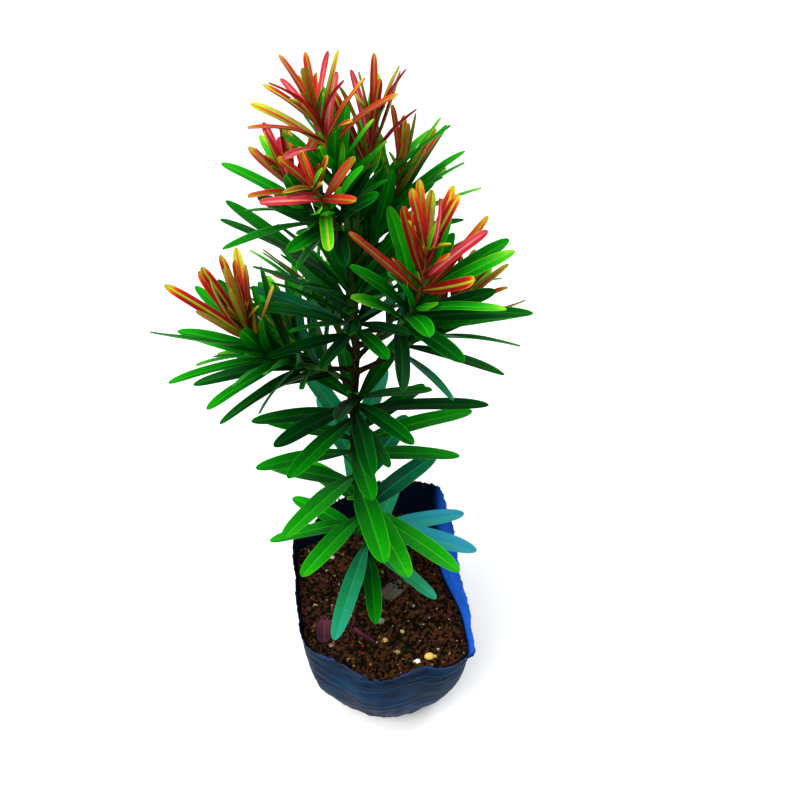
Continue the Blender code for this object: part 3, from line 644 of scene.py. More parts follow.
# %% Grow the scatter tree
def scatter_tree():
    """The Geometry Nodes tree that strews small lumps over a surface."""
    tree = bpy.data.node_groups.new("strew_lumps", "GeometryNodeTree")
    nodes = tree.nodes
    link = tree.links.new
    for name, kind in (("Geometry", "Geometry"), ("Lumps per square metre", "Float"), ("Smallest", "Float"),
                       ("Largest", "Float"), ("Seed", "Int"), ("Finish", "Material")):
        tree.interface.new_socket(name=name, in_out="INPUT", socket_type="NodeSocket" + kind)
    tree.interface.new_socket(name="Geometry", in_out="OUTPUT", socket_type="NodeSocketGeometry")
    start = nodes.new("NodeGroupInput").outputs

    def random_value(kind):
        """A node that draws a value for each lump from the tree's seed."""
        node = nodes.new("FunctionNodeRandomValue")
        node.data_type = kind
        link(start["Seed"], node.inputs["Seed"])
        return node

    points = nodes.new("GeometryNodeDistributePointsOnFaces")
    link(start["Geometry"], points.inputs["Mesh"])
    link(start["Lumps per square metre"], points.inputs["Density"])
    link(start["Seed"], points.inputs["Seed"])
    lump = nodes.new("GeometryNodeMeshIcoSphere")
    lump.inputs["Radius"].default_value = 1.0
    lump.inputs["Subdivisions"].default_value = 1
    size = random_value("FLOAT")
    link(start["Smallest"], size.inputs[2])
    link(start["Largest"], size.inputs[3])
    squash = random_value("FLOAT_VECTOR")
    squash.inputs[0].default_value = (0.55, 0.55, 0.45)
    squash.inputs[1].default_value = (1.35, 1.25, 0.95)
    scale = nodes.new("ShaderNodeVectorMath")
    scale.operation = "SCALE"
    link(squash.outputs[0], scale.inputs[0])
    link(size.outputs[1], scale.inputs["Scale"])
    turn = random_value("FLOAT_VECTOR")
    turn.inputs[1].default_value = (2 * pi, 2 * pi, 2 * pi)
    place = nodes.new("GeometryNodeInstanceOnPoints")
    link(points.outputs["Points"], place.inputs["Points"])
    link(lump.outputs["Mesh"], place.inputs["Instance"])
    link(turn.outputs[0], place.inputs["Rotation"])
    link(scale.outputs["Vector"], place.inputs["Scale"])
    real = nodes.new("GeometryNodeRealizeInstances")
    link(place.outputs["Instances"], real.inputs["Geometry"])
    paint = nodes.new("GeometryNodeSetMaterial")
    link(real.outputs["Geometry"], paint.inputs["Geometry"])
    link(start["Finish"], paint.inputs["Material"])
    link(paint.outputs["Geometry"], nodes.new("NodeGroupOutput").inputs["Geometry"])
    return tree


lump_tree = scatter_tree()
print("Scatter nodes:", len(lump_tree.nodes))

# %% Strew the crumbs and the grit
STREWN_DEPTH = 0.0055
FILM_CLEARANCE = 0.0022


def bears_crumbs(point):
    """Whether a point of the soil lies on its top and clear of the film."""
    azimuth = degrees(atan2(point.y, point.x))
    reach = film_radius(azimuth, SOIL_LEVEL) - FILM_CLEARANCE
    return point.z > SOIL_LEVEL - STREWN_DEPTH and point.xy.length < reach


strewn_ground = bpy.data.objects.new("strewn_ground", soil.data.copy())
bpy.context.scene.collection.objects.link(strewn_ground)
trim = bmesh.new()
trim.from_mesh(strewn_ground.data)
bare = [face for face in trim.faces if not bears_crumbs(face.calc_center_median())]
bmesh.ops.delete(trim, geom=bare, context="FACES")
trim.to_mesh(strewn_ground.data)
trim.free()


def strew(name, finish, density, smallest, largest, seed):
    """Run the scatter tree over the ground and keep the result as one plain mesh."""
    modifier = strewn_ground.modifiers.new("strew", "NODES")
    modifier.node_group = lump_tree
    values = {"Lumps per square metre": float(density), "Smallest": smallest,
              "Largest": largest, "Seed": seed, "Finish": finish}
    for item in lump_tree.interface.items_tree:
        if item.in_out == "INPUT" and item.name in values:
            modifier[item.identifier] = values[item.name]
    depsgraph = bpy.context.evaluated_depsgraph_get()
    mesh = bpy.data.meshes.new_from_object(strewn_ground.evaluated_get(depsgraph))
    strewn_ground.modifiers.remove(modifier)
    piece = bpy.data.objects.new(name, mesh)
    bpy.context.scene.collection.objects.link(piece)
    shade_round(piece, 30)
    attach(piece, "root")
    print(name, "has", len(mesh.polygons) // 20, "lumps")


# The near-black crumbs are partly the soil's own colour and partly painted shade among the clods.
CRUMBS = (
    ("crumbs_dark", (0.004, 0.003, 0.001), 330000, 0.0004, 0.0016, 3),
    ("crumbs_red", (0.060, 0.012, 0.004), 110000, 0.0004, 0.0012, 4),
    ("crumbs_brown", (0.048, 0.023, 0.006), 120000, 0.0004, 0.0017, 5),
    ("grit_ochre", (0.240, 0.140, 0.035), 20000, 0.0004, 0.0012, 6),
    ("grit_pale", (0.420, 0.420, 0.360), 5000, 0.0003, 0.0009, 7),
)
for name, colour, density, smallest, largest, seed in CRUMBS:
    strew(name, plain(name + "_finish", colour, 0.95, 0.03), density, smallest, largest, seed)
bpy.data.objects.remove(strewn_ground, do_unlink=True)

# %% [markdown]
# ## The rule of the plant
#
# The solids and this lesson share one rule. It says where the trunk leans, where each shoot
# leaves it and bends, and how leaves follow each other round a stem by the golden turn.
# Writing it again here puts every fine leaf on the place of its plain solid leaf.

# %% Name the plant's sizes
GAP = 0.0003
LEAF_CLEARANCE = 0.0004
TRUNK_LINE = (
    (0.095, -0.0055), (0.128, -0.0082), (0.178, -0.0122), (0.214, -0.0136),
    (0.262, -0.0115), (0.290, -0.0102), (0.345, -0.0110),
)
TRUNK_SIDES = 8
TRUNK_FOOT_RADIUS = 0.0022
TRUNK_TOP_RADIUS = 0.0012
TRUNK_FLARE = 0.0016
TRUNK_FLARE_HEIGHT = 0.007
FLARE_SHARES = (0.0, 0.3, 0.65, 1.0)
TRUNK_STEPS = 12
TRUNK_FOOT = SOIL_LEVEL + GAP
TRUNK_TOP = 0.345
BOUGH_SIDES = 6
BOUGH_FOOT_RADIUS = 0.0013
BOUGH_TIP_RADIUS = 0.0010
STEM_RADIUS = 0.0013
STEM_TIP_RADIUS = 0.0009
FLUSH_TIP_RADIUS = 0.0005
BOUGH_START = 0.05
SLEEVE_WALL = 0.0010
SLEEVE_SIDES = 8
SLEEVE_REACH = 0.002
SLEEVE_SHARES = (0.0, 0.33, 0.67, 1.0)
SLEEVE_END = 0.4
LEAF_SUNK = 0.3
LEAF_CROWDED = 0.3
GOLDEN_TURN = 137.5
LEAF_THICKNESS = 0.0007
LEAF_WIDEST_AT = 0.45
LEAF_ROOT_SHARE = 0.25
GROWN_BLUNT = 6
YOUNG_BLUNT = 12
GREEN_STATIONS = (0.0, 0.3, 0.65, 0.9)
FLUSH_STATIONS = (0.0, 0.45, 0.85)
LEAF_UPTURN = 0.24
LEAF_TWIST_OUT = 0.25
LIGHT = Vector((-0.15, -0.35, 0.60))
GREEN_BEND = 0.30
TIER_BEND = 0.16
GREEN_SAG = (0.04, 0.16)
FLUSH_SAG = 0.05
TIER_SAG = 0.14
TIER_LIFT = 8
TIER_LENGTH = 56
TIER_ROLL = 12
LENGTH_SPREAD = (0.88, 1.08)
WIDTH_SPREAD = (0.9, 1.1)
TIER_WIDTH_SPREAD = (0.94, 1.06)

Leaf = namedtuple("Leaf", "root direction normal length width bend sag blunt")
Shoot = namedtuple(
    "Shoot", "name foot_z tip knee bare green greens grown reds young arch first_turn young_turn")
Tier = namedtuple("Tier", "name low high width leaves")

# %% List the shoots and the tiers
# Shoots: height on the trunk, tip, how far out and up the knee of the curve lies, lengths of
# bare bough and of green stem, number of grown leaves, their length, width and tilt in degrees,
# number of young leaves, their length, width and tilt, how far the young leaves arch back,
# and the azimuths of the first grown and the first young leaf
BENT_UP = (0.70, 0.30)
UPRIGHT = (1.00, 0.35)
FACING = (0.42, 0.50)
STRAIGHT = (0.25, 0.50)
CURLED = (0.2, 0.9)
ARCHED = (-0.1, 0.5)
CUPPED = (-0.5, 0.3)
SHOOTS = (
    Shoot("leader", TRUNK_TOP, (-0.0201, 0.000, 0.393), STRAIGHT, 0.000, 0.027,
          13, (0.034, 0.0050, 54), 18, (0.031, 0.0034, 55), CURLED, 314, 19),
    Shoot("top_right", 0.335, (-0.001, 0.0187, 0.379), BENT_UP, 0.010, 0.022,
          14, (0.050, 0.0056, 48), 11, (0.034, 0.0038, 36), ARCHED, 23, 197),
    Shoot("upper_right", 0.325, (0.0097, 0.0188, 0.3584), BENT_UP, 0.009, 0.022,
          15, (0.048, 0.0056, 43), 9, (0.036, 0.0036, 42), ARCHED, 75, 328),
    Shoot("upper_left", 0.339, (-0.0323, -0.002, 0.3712), BENT_UP, 0.008, 0.018,
          13, (0.042, 0.0058, 66), 11, (0.025, 0.0042, 58), ARCHED, 132, 227),
    Shoot("upper_front", 0.335, (-0.0205, -0.0216, 0.3755), FACING, 0.014, 0.018,
          8, (0.033, 0.0060, 56), 8, (0.022, 0.0042, 98), ARCHED, 132, 115),
    Shoot("right", 0.286, (0.0185, -0.0198, 0.3492), UPRIGHT, 0.028, 0.022,
          17, (0.049, 0.0070, 62), 14, (0.038, 0.0050, 60), CUPPED, 228, 162),
    Shoot("right_back", 0.270, (0.032, 0.010, 0.303), BENT_UP, 0.018, 0.024,
          15, (0.050, 0.0062, 62), 10, (0.037, 0.0044, 56), CUPPED, 10, 58),
    Shoot("left", 0.272, (-0.0535, -0.0148, 0.3107), UPRIGHT, 0.010, 0.032,
          24, (0.047, 0.0062, 60), 14, (0.043, 0.0048, 45), CUPPED, 279, 323),
    Shoot("left_back", 0.262, (-0.041, 0.012, 0.284), BENT_UP, 0.007, 0.024,
          16, (0.047, 0.0060, 60), 7, (0.034, 0.0050, 56), CUPPED, 110, 210),
    Shoot("back", 0.287, (-0.004, 0.042, 0.304), BENT_UP, 0.010, 0.024,
          15, (0.050, 0.0062, 60), 9, (0.036, 0.0044, 56), ARCHED, 30, 352),
    Shoot("back_left", 0.279, (-0.029, 0.030, 0.297), BENT_UP, 0.008, 0.022,
          14, (0.047, 0.0060, 60), 8, (0.035, 0.0044, 56), ARCHED, 150, 335),
    Shoot("back_right", 0.278, (0.020, 0.033, 0.303), BENT_UP, 0.012, 0.024,
          14, (0.050, 0.0062, 60), 9, (0.036, 0.0044, 56), ARCHED, 80, 265),
)
# Tiers: lowest and highest leaf base, leaf width, and each leaf's azimuth and rise in degrees
# and its length in millimetres, from the lowest leaf up
TIERS = (
    Tier("tier_1", 0.128, 0.150, 0.0100, (
        (-84, -8, 40), (70, 6, 50), (-44, 4, 50), (-104, 0, 60), (150, 4, 48), (12, 2, 54))),
    Tier("tier_2", 0.155, 0.178, 0.0115, (
        (-14, -4, 60), (-160, 8, 50), (100, 12, 52), (-122, 10, 52), (28, 24, 49), (-36, -4, 61),
        (136, -8, 46))),
    Tier("tier_3", 0.183, 0.206, 0.0125, (
        (-64, 4, 58), (58, 14, 48), (178, 14, 44), (-75, 8, 57), (-124, 11, 56), (116, 16, 46))),
    Tier("tier_4", 0.214, 0.232, 0.0100, (
        (-5, 4, 50), (-162, 6, 47), (72, 14, 48), (-78, 20, 50), (8, 14, 58), (176, 15, 45),
        (128, 18, 44), (28, 22, 40))),
    Tier("tier_5", 0.240, 0.257, 0.0088, (
        (-66, 14, 42), (-117, 14, 55), (100, 18, 48), (-168, 5, 46), (-4, 8, 61), (-79, 12, 51),
        (55, 20, 46), (-136, 8, 45), (-53, 12, 43), (150, 18, 46), (-20, 26, 40), (-100, 30, 38))),
    Tier("tier_6", 0.293, 0.303, 0.0076, (
        (-150, 6, 38), (120, 24, 44), (-20, 10, 38), (62, 26, 44), (-112, 10, 32), (170, 20, 46),
        (-62, 12, 30), (20, 26, 42), (-170, 22, 44), (95, 34, 46), (-38, 24, 36), (-132, 26, 38),
        (146, 34, 46), (-5, 32, 42), (-90, 28, 30), (-160, 40, 42))),
    Tier("tier_7", 0.3075, 0.3205, 0.0072, (
        (-160, 30, 44), (-90, 34, 30), (40, 40, 44), (174, 44, 66), (-58, 38, 34), (110, 42, 44),
        (-18, 42, 42), (-125, 40, 38), (140, 52, 46), (64, 52, 44), (-165, 54, 46), (10, 54, 42),
        (-140, 56, 42), (-40, 54, 38), (190, 38, 60), (85, 60, 42))),
)
print("Shoots:", len(SHOOTS), "tiers:", len(TIERS))


# %% Follow the trunk and the shoots
def trunk_centre(height):
    """Middle of the trunk at a height."""
    return Vector((ease(TRUNK_LINE, height, 1), 0.0, height))


def trunk_radius(height):
    """Trunk radius at a height: a straight taper with a flare at the foot."""
    share = (height - TRUNK_FOOT) / (TRUNK_TOP - TRUNK_FOOT)
    taper = TRUNK_FOOT_RADIUS + (TRUNK_TOP_RADIUS - TRUNK_FOOT_RADIUS) * share
    rise = max(0.0, 1 - (height - TRUNK_FOOT) / TRUNK_FLARE_HEIGHT)
    return taper + TRUNK_FLARE * rise ** 2


class ShootLine:
    """The curved middle line of one shoot, from the trunk to its tip."""

    def __init__(self, shoot):
        self.foot = trunk_centre(shoot.foot_z)
        self.tip = Vector(shoot.tip)
        reach = self.tip - self.foot
        out, up = shoot.knee
        self.knee = self.foot + Vector((reach.x * out, reach.y * out, reach.z * up))
        places = [self.place(step / 32) for step in range(33)]
        self.length = sum((after - before).length for before, after in zip(places, places[1:]))
        slant = self.heading(0.0).xy.length if not shoot.bare else 0.0
        self.bare_end = shoot.bare / self.length
        self.green_start = self.bare_end + (GAP + STEM_RADIUS * slant) / self.length
        self.green_end = (shoot.bare + shoot.green) / self.length
        self.flush_start = self.green_end + GAP / self.length

    def place(self, t):
        """The point at a share t of the line."""
        return self.foot * (1 - t) ** 2 + self.knee * 2 * t * (1 - t) + self.tip * t ** 2

    def heading(self, t):
        """The way that the line runs at a share t of it."""
        return ((self.knee - self.foot) * (1 - t) + (self.tip - self.knee) * t).normalized()


LINES = {shoot.name: ShootLine(shoot) for shoot in SHOOTS}
print("Longest shoot:", round(max(line.length for line in LINES.values()), 3))


# %% Set the plain leaves as the solids have them
def ring_round(centre, axis, radius, sides):
    """A ring of points about a centre, square to an axis."""
    turn = axis.to_track_quat("Z", "Y")
    angles = [2 * pi * side / sides for side in range(sides)]
    return [centre + turn @ Vector((radius * cos(angle), radius * sin(angle), 0)) for angle in angles]


def stem_rings(line, start, end, first_radius, last_radius, steps):
    """Rings of a tapering stem along part of a shoot's line."""
    rings = []
    for step in range(steps + 1):
        share = step / steps
        t = start + (end - start) * share
        radius = first_radius + (last_radius - first_radius) * share
        rings.append(ring_round(line.place(t), line.heading(t), radius, BOUGH_SIDES))
    return rings


def level_way(direction):
    """A direction laid level."""
    return Vector((direction.x, direction.y, 0)).normalized()


def cut_to_trunk(ring, line, foot_z):
    """Slide a ring's points along the bough, on to a plane a gap clear of the trunk."""
    heading = line.heading(0.0)
    flat = level_way(heading)
    distance = trunk_radius(foot_z) + GAP * 1.5
    shorts = [distance - (point - line.foot).dot(flat) for point in ring]
    return [point + heading * (short / heading.dot(flat)) for point, short in zip(ring, shorts)]


def belly(s):
    """Share of the full thickness at a place along a leaf."""
    return 0.6 + 0.4 * sin(pi * s)


def leaf_outline(s, blunt):
    """Share of the full width at a place along a leaf: narrow root, rounded tip."""
    shoulder = sin(pi / 2 * min(1.0, s / LEAF_WIDEST_AT))
    return (LEAF_ROOT_SHARE + (1 - LEAF_ROOT_SHARE) * shoulder) * sqrt(max(0.0, 1 - s ** blunt))


def leaf_frame(leaf, s):
    """Middle point, across and normal of a leaf that arches back and sags under its weight."""
    lean = leaf.bend * s
    centre = leaf.root + leaf.length * (s * leaf.direction - lean * s / 2 * leaf.normal)
    centre.z -= leaf.length * leaf.sag * s ** 2 / 2
    heading = leaf.direction - lean * leaf.normal
    heading.z -= leaf.sag * s
    heading.normalize()
    normal = leaf.normal + lean * leaf.direction
    normal = (normal - heading * normal.dot(heading)).normalized()
    return centre, heading.cross(normal), normal


def leaf_solid(leaf, stations, extra=0.0, first=0.0):
    """Points and faces of a plain leaf: a three-sided blade, or a guard with four sides."""
    rings = []
    for s in [max(first, s) for s in stations if s > first - 0.2]:
        centre, across, normal = leaf_frame(leaf, s)
        half = leaf.width * leaf_outline(s, leaf.blunt) / 2 + extra
        depth = (LEAF_THICKNESS + extra * 0.5) * belly(s)
        ring = [centre - across * half, centre - normal * depth, centre + across * half]
        if extra:
            ring.append(centre + normal * (extra * 0.6))
        rings.append(ring)
    return tube(rings, leaf_frame(leaf, 1.0 + extra * 8)[0])


class Crown:
    """What has its place in the crown already, so that no leaf is set into anything else."""

    def __init__(self):
        self.whole = {}
        self.outer = {}

    def add(self, node, points, faces):
        """Take a closed shape's place for a node."""
        self.whole.setdefault(node, []).append(BVHTree.FromPolygons(points, faces))

    def add_leaf(self, node, leaf, stations):
        """Take a leaf's place, and keep its outer part apart from its crowded root."""
        self.add(node, *leaf_solid(leaf, stations))
        outer = BVHTree.FromPolygons(*leaf_solid(leaf, stations, first=LEAF_CROWDED))
        self.outer.setdefault(node, []).append(outer)

    def is_clear(self, node, leaf, stations):
        """Whether a leaf touches no other node, and no outer part of a leaf of its own."""
        guard = BVHTree.FromPolygons(*leaf_solid(leaf, stations, LEAF_CLEARANCE))
        for other, trees in self.whole.items():
            if other != node and any(tree.overlap(guard) for tree in trees):
                return False
        outer = BVHTree.FromPolygons(*leaf_solid(leaf, stations, LEAF_CLEARANCE, LEAF_CROWDED))
        return not any(tree.overlap(outer) for tree in self.outer.get(node, []))


SIDEWAYS = (0, 9, -9, 18, -18, 27, -27, 36, -36)
SMALL_TURNS = [(turn, lift) for lift in (0, 8, -8, 16, -16) for turn in SIDEWAYS]


def set_leaf(crown, node, stations, make):
    """Set a leaf where it is clear, turned a little aside if need be, or leave it out."""
    for turn, lift in SMALL_TURNS:
        leaf = make(turn, lift)
        if crown.is_clear(node, leaf, stations):
            crown.add_leaf(node, leaf, stations)
            return leaf
    return None


def leaf_on_stem(line, t, azimuth, tilt, length, width, bend, sag, roll, blunt=GROWN_BLUNT):
    """A leaf on a shoot: azimuth round the stem and tilt away from its axis, in degrees."""
    axis = line.heading(t)
    side = axis.cross(UP)
    side = side.normalized() if side.length > 0.05 else Vector((1, 0, 0))
    other = axis.cross(side)
    turn = radians(azimuth)
    outward = side * cos(turn) + other * sin(turn)
    lean = radians(tilt)
    direction = axis * cos(lean) + outward * sin(lean)
    direction.z += LEAF_UPTURN
    direction.z *= LEAF_TWIST_OUT if direction.z < 0 else 1.0
    direction.normalize()
    normal = axis * sin(lean) - outward * cos(lean) + LIGHT
    normal = (normal - direction * normal.dot(direction)).normalized()
    normal = Matrix.Rotation(radians(roll), 3, direction) @ normal
    return Leaf(line.place(t), direction, normal, length, width, bend, sag, blunt)


print("Leaf outline at its middle:", round(leaf_outline(0.5, GROWN_BLUNT), 2))


# %% Deal out the leaves of every mass
# The two kinds of leaves on a shoot: name and random seed of the mass, stations along the leaf,
# first place and span on the stem, tilt lost with age, spread of tilt, width lost with age,
# spread of roll in degrees, and how blunt the tip is
Growth = namedtuple("Growth", "mass seed stations span tilt_loss tilt_spread width_loss roll blunt")
GREEN = Growth("foliage_", " green", GREEN_STATIONS, (0.08, 0.86), 0.5, 6, 0, 14, GROWN_BLUNT)
RED = Growth("flush_", " red", FLUSH_STATIONS, (0.15, 0.75), 0.75, 5, 0.25, 18, YOUNG_BLUNT)


def shoot_leaves(crown, shoot, growth):
    """The grown or the young leaves of one shoot, in a spiral from the oldest to the youngest."""
    line = LINES[shoot.name]
    draw = Random(shoot.name + growth.seed)
    is_green = growth is GREEN
    count = shoot.greens if is_green else shoot.reds
    full_length, full_width, full_tilt = shoot.grown if is_green else shoot.young
    first_turn = shoot.first_turn if is_green else shoot.young_turn
    start, end = (line.green_start, line.green_end) if is_green else (line.flush_start, 1.0)
    leaves = []
    for number in range(count):
        age = number / (count - 1)
        t = start + (end - start) * (growth.span[0] + growth.span[1] * age)
        azimuth = first_turn + GOLDEN_TURN * number
        tilt = full_tilt * (1 - growth.tilt_loss * age)
        tilt += draw.uniform(-growth.tilt_spread, growth.tilt_spread)
        share = 0.84 + 0.5 * age * (1 - age) if is_green else 1.0 - 0.27 * age
        length = full_length * share * draw.uniform(*LENGTH_SPREAD)
        width = full_width * (1.0 - growth.width_loss * age) * draw.uniform(*WIDTH_SPREAD)
        roll = draw.uniform(-growth.roll, growth.roll)
        bend = GREEN_BEND if is_green else draw.uniform(*shoot.arch)
        sag = draw.uniform(*GREEN_SAG) if is_green else FLUSH_SAG

        def make(turn, lift):
            return leaf_on_stem(
                line, t, azimuth + turn, tilt + lift, length, width, bend, sag, roll, growth.blunt)

        leaves.append((age, set_leaf(crown, growth.mass + shoot.name, growth.stations, make)))
    return [(age, leaf) for age, leaf in leaves if leaf]


def tier_leaves(crown, tier):
    """The broad leaves of one tier, each at its own azimuth and rise."""
    draw = Random(tier.name)
    leaves = []
    for number, (azimuth, rise, length) in enumerate(tier.leaves):
        height = tier.low + (tier.high - tier.low) * (number + 0.5) / len(tier.leaves)
        width = tier.width * (0.7 + 0.3 * length / TIER_LENGTH) * draw.uniform(*TIER_WIDTH_SPREAD)
        roll = draw.uniform(-TIER_ROLL, TIER_ROLL)

        def make(turn, lift):
            outward = outward_at(azimuth + turn)
            up = radians(rise + lift + TIER_LIFT)
            direction = outward * cos(up) + UP * sin(up)
            normal = Matrix.Rotation(radians(roll), 3, direction) @ (UP * cos(up) - outward * sin(up))
            sunk = trunk_radius(height) + GAP + SLEEVE_WALL * LEAF_SUNK
            root = trunk_centre(height) + outward * sunk
            return Leaf(root, direction, normal, length / 1000, width, TIER_BEND, TIER_SAG, GROWN_BLUNT)

        leaves.append((number, set_leaf(crown, "leaves_" + tier.name, GREEN_STATIONS, make)))
    return [(number, leaf) for number, leaf in leaves if leaf]


def sleeve(tier):
    """Points and faces of the thin closed sleeve of leaf bases round the trunk."""
    inner = []
    outer = []
    for share in SLEEVE_SHARES:
        height = tier.low - SLEEVE_REACH + (tier.high - tier.low + 2 * SLEEVE_REACH) * share
        radius = trunk_radius(height) + GAP * 1.1
        wall = SLEEVE_WALL * (SLEEVE_END if share in (0.0, 1.0) else 1.0)
        inner.append(ring_round(trunk_centre(height), UP, radius, SLEEVE_SIDES))
        outer.append(ring_round(trunk_centre(height), UP, radius + wall, SLEEVE_SIDES))
    # The tube comes back to its first ring, so its two flat ends fall away
    points, faces = tube(outer + inner[::-1] + outer[:1])
    return points, faces[1:-1]


def deal_leaves():
    """Run the rule in the order that the solids were made in."""
    crown = Crown()
    heights = [TRUNK_FOOT + TRUNK_FLARE_HEIGHT * share for share in FLARE_SHARES]
    flare_top = heights[-1]
    shares = [step / TRUNK_STEPS for step in range(1, TRUNK_STEPS + 1)]
    heights += [flare_top + (TRUNK_TOP - flare_top) * share for share in shares]
    rings = [ring_round(trunk_centre(height), UP, trunk_radius(height), TRUNK_SIDES) for height in heights]
    crown.add("trunk", *tube(rings))
    for shoot in SHOOTS:
        line = LINES[shoot.name]
        if shoot.bare:
            rings = stem_rings(line, BOUGH_START, line.bare_end, BOUGH_FOOT_RADIUS, BOUGH_TIP_RADIUS, 4)
            rings[0] = cut_to_trunk(rings[0], line, shoot.foot_z)
            crown.add("bough_" + shoot.name, *tube(rings))
    for tier in TIERS:
        crown.add("leaves_" + tier.name, *sleeve(tier))
    for shoot in SHOOTS:
        line = LINES[shoot.name]
        green = stem_rings(line, line.green_start, line.green_end, STEM_RADIUS, STEM_TIP_RADIUS, 5)
        flush = stem_rings(line, line.flush_start, 1.0, STEM_TIP_RADIUS, FLUSH_TIP_RADIUS, 3)
        crown.add("foliage_" + shoot.name, *tube(green))
        crown.add("flush_" + shoot.name, *tube(flush))
    dealt = {"leaves_" + tier.name: tier_leaves(crown, tier) for tier in TIERS}
    for growth in (RED, GREEN):
        for shoot in SHOOTS:
            dealt[growth.mass + shoot.name] = shoot_leaves(crown, shoot, growth)
    return dealt


LEAVES = deal_leaves()
print("Leaves:", sum(len(found) for found in LEAVES.values()))

# %% Compare the rule with the solids
worst = 0.0
for node, found in LEAVES.items():
    stations = FLUSH_STATIONS if node.startswith("flush") else GREEN_STATIONS
    low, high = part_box(node)
    for _, leaf in found:
        for point in leaf_solid(leaf, stations)[0]:
            for axis in range(3):
                worst = max(worst, low[axis] - point[axis], point[axis] - high[axis])
print("A fine leaf stands outside its solid's box by at most", round(1000 * worst, 3), "mm")

# %% [markdown]
# ## Bark
#
# The trunk and the boughs are woody: brown and fissured low down, olive higher up. Under every
# leaf a ridge runs down the stem, and old ridges stay in the bark. The relief is real: each
# point of a fine tube moves out by ridges, fissures and the cushions under the leaves.

# %% Build the bark
BARK_SIDES = 28
BARK_STEP = 0.0009
TRUNK_SUNK = 0.0015
RIDGES = 5
# How far ridges, fissures and grain move the bark, as shares of the radius
RIDGE_SHARE = 0.13
FISSURE_SHARE = 0.10
GRAIN_SHARE = 0.06
BOUGH_BARK_SIDES = 20
BOUGH_COLLAR = 0.0006
# A cushion under a leaf: how far it runs up and down the limb, how high it is, and how much of
# the limb's side it takes
CUSHION_UP = 0.0016
CUSHION_DOWN = 0.010
CUSHION_HEIGHT = 0.0007
CUSHION_SIDE = 0.45


def bark_relief(angle, along, seed):
    """Relief of the bark as a share of the radius, at an angle and a distance along the limb."""
    drift = noise.noise(Vector((seed, along * 26, 0.0)))
    ridges = 0.5 + 0.5 * sin(RIDGES * angle + 5 * drift + along * 60)
    place = Vector((cos(angle) * 1.3 + seed, sin(angle) * 1.3, along * 160))
    fissure = ridge(noise.noise(place))
    grain = noise.noise(place * 3.1)
    return RIDGE_SHARE * ridges - FISSURE_SHARE * fissure + GRAIN_SHARE * grain


def limb_rings(places, radii, sides, seed, relief, cushions=()):
    """Rings of a fine limb, carried along it without a twist, with relief on every point."""
    rings = []
    side = None
    along = 0.0
    for number, place in enumerate(places):
        following = places[min(number + 1, len(places) - 1)]
        previous = places[max(number - 1, 0)]
        heading = (following - previous).normalized()
        if side is None:
            side = heading.cross(Vector((0, 1, 0.01))).normalized()
        side = (side - heading * side.dot(heading)).normalized()
        other = heading.cross(side)
        along += (place - previous).length
        ring = []
        for step in range(sides):
            angle = 2 * pi * step / sides
            outward = side * cos(angle) + other * sin(angle)
            radius = radii[number] * (1 + relief * bark_relief(angle, along, seed))
            for spot, way in cushions:
                drop = spot.z - place.z
                if -CUSHION_UP < drop < CUSHION_DOWN:
                    facing = max(0.0, outward.dot(way) - (1 - CUSHION_SIDE)) / CUSHION_SIDE
                    fade = 1 - drop / CUSHION_DOWN if drop > 0 else 1 + drop / CUSHION_UP
                    radius += CUSHION_HEIGHT * facing ** 1.5 * fade
            ring.append(place + outward * radius)
        rings.append(ring)
    return rings


class Bundle:
    """Points, faces and tones of many shapes that become one piece."""

    def __init__(self):
        self.points = []
        self.faces = []
        self.tones = []

    def add(self, points, faces, tones):
        """Join one more shape on."""
        start = len(self.points)
        self.points += points
        self.faces += [tuple(start + corner for corner in face) for face in faces]
        self.tones += tones


def trunk_limb():
    """The trunk's rings, with a cushion under every leaf of the tiers and every bough."""
    steps = int((TRUNK_TOP - TRUNK_FOOT) / BARK_STEP)
    foot = TRUNK_FOOT - TRUNK_SUNK
    heights = [foot + (TRUNK_TOP - foot) * step / steps for step in range(steps + 1)]
    places = [trunk_centre(height) for height in heights]
    radii = [trunk_radius(max(TRUNK_FOOT, height)) for height in heights]
    cushions = [(leaf.root, level_way(leaf.direction))
                for tier in TIERS for _, leaf in LEAVES["leaves_" + tier.name]]
    for line in [LINES[shoot.name] for shoot in SHOOTS if shoot.bare]:
        cushions.append((line.foot, level_way(line.heading(0.0))))
    return limb_rings(places, radii, BARK_SIDES, 1.7, 1.0, cushions)


def bough_limb(shoot, number):
    """The rings of one bough, from inside the trunk to where its leaves begin."""
    line = LINES[shoot.name]
    steps = max(8, int(shoot.bare / BARK_STEP))
    shares = [step / steps for step in range(steps + 1)]
    places = [line.place(line.bare_end * 1.02 * share) for share in shares]
    taper = BOUGH_TIP_RADIUS - BOUGH_FOOT_RADIUS
    collars = [BOUGH_COLLAR * max(0.0, 1 - share * 4) ** 2 for share in shares]
    radii = [BOUGH_FOOT_RADIUS + taper * share + collar for share, collar in zip(shares, collars)]
    return limb_rings(places, radii, BOUGH_BARK_SIDES, 4.1 + number, 0.8)


bark = Bundle()
limbs = [trunk_limb()] + [bough_limb(shoot, number) for number, shoot in enumerate(SHOOTS) if shoot.bare]
for rings in limbs:
    points, faces = tube(rings)
    bark.add(points, faces, [0] * len(faces))
print("Bark faces:", len(bark.faces))

# %% Colour the bark
BARK_DARK = (0.001, 0.002, 0.001)
BARK_BROWN = (0.020, 0.015, 0.005)
BARK_OLIVE = (0.022, 0.055, 0.007)


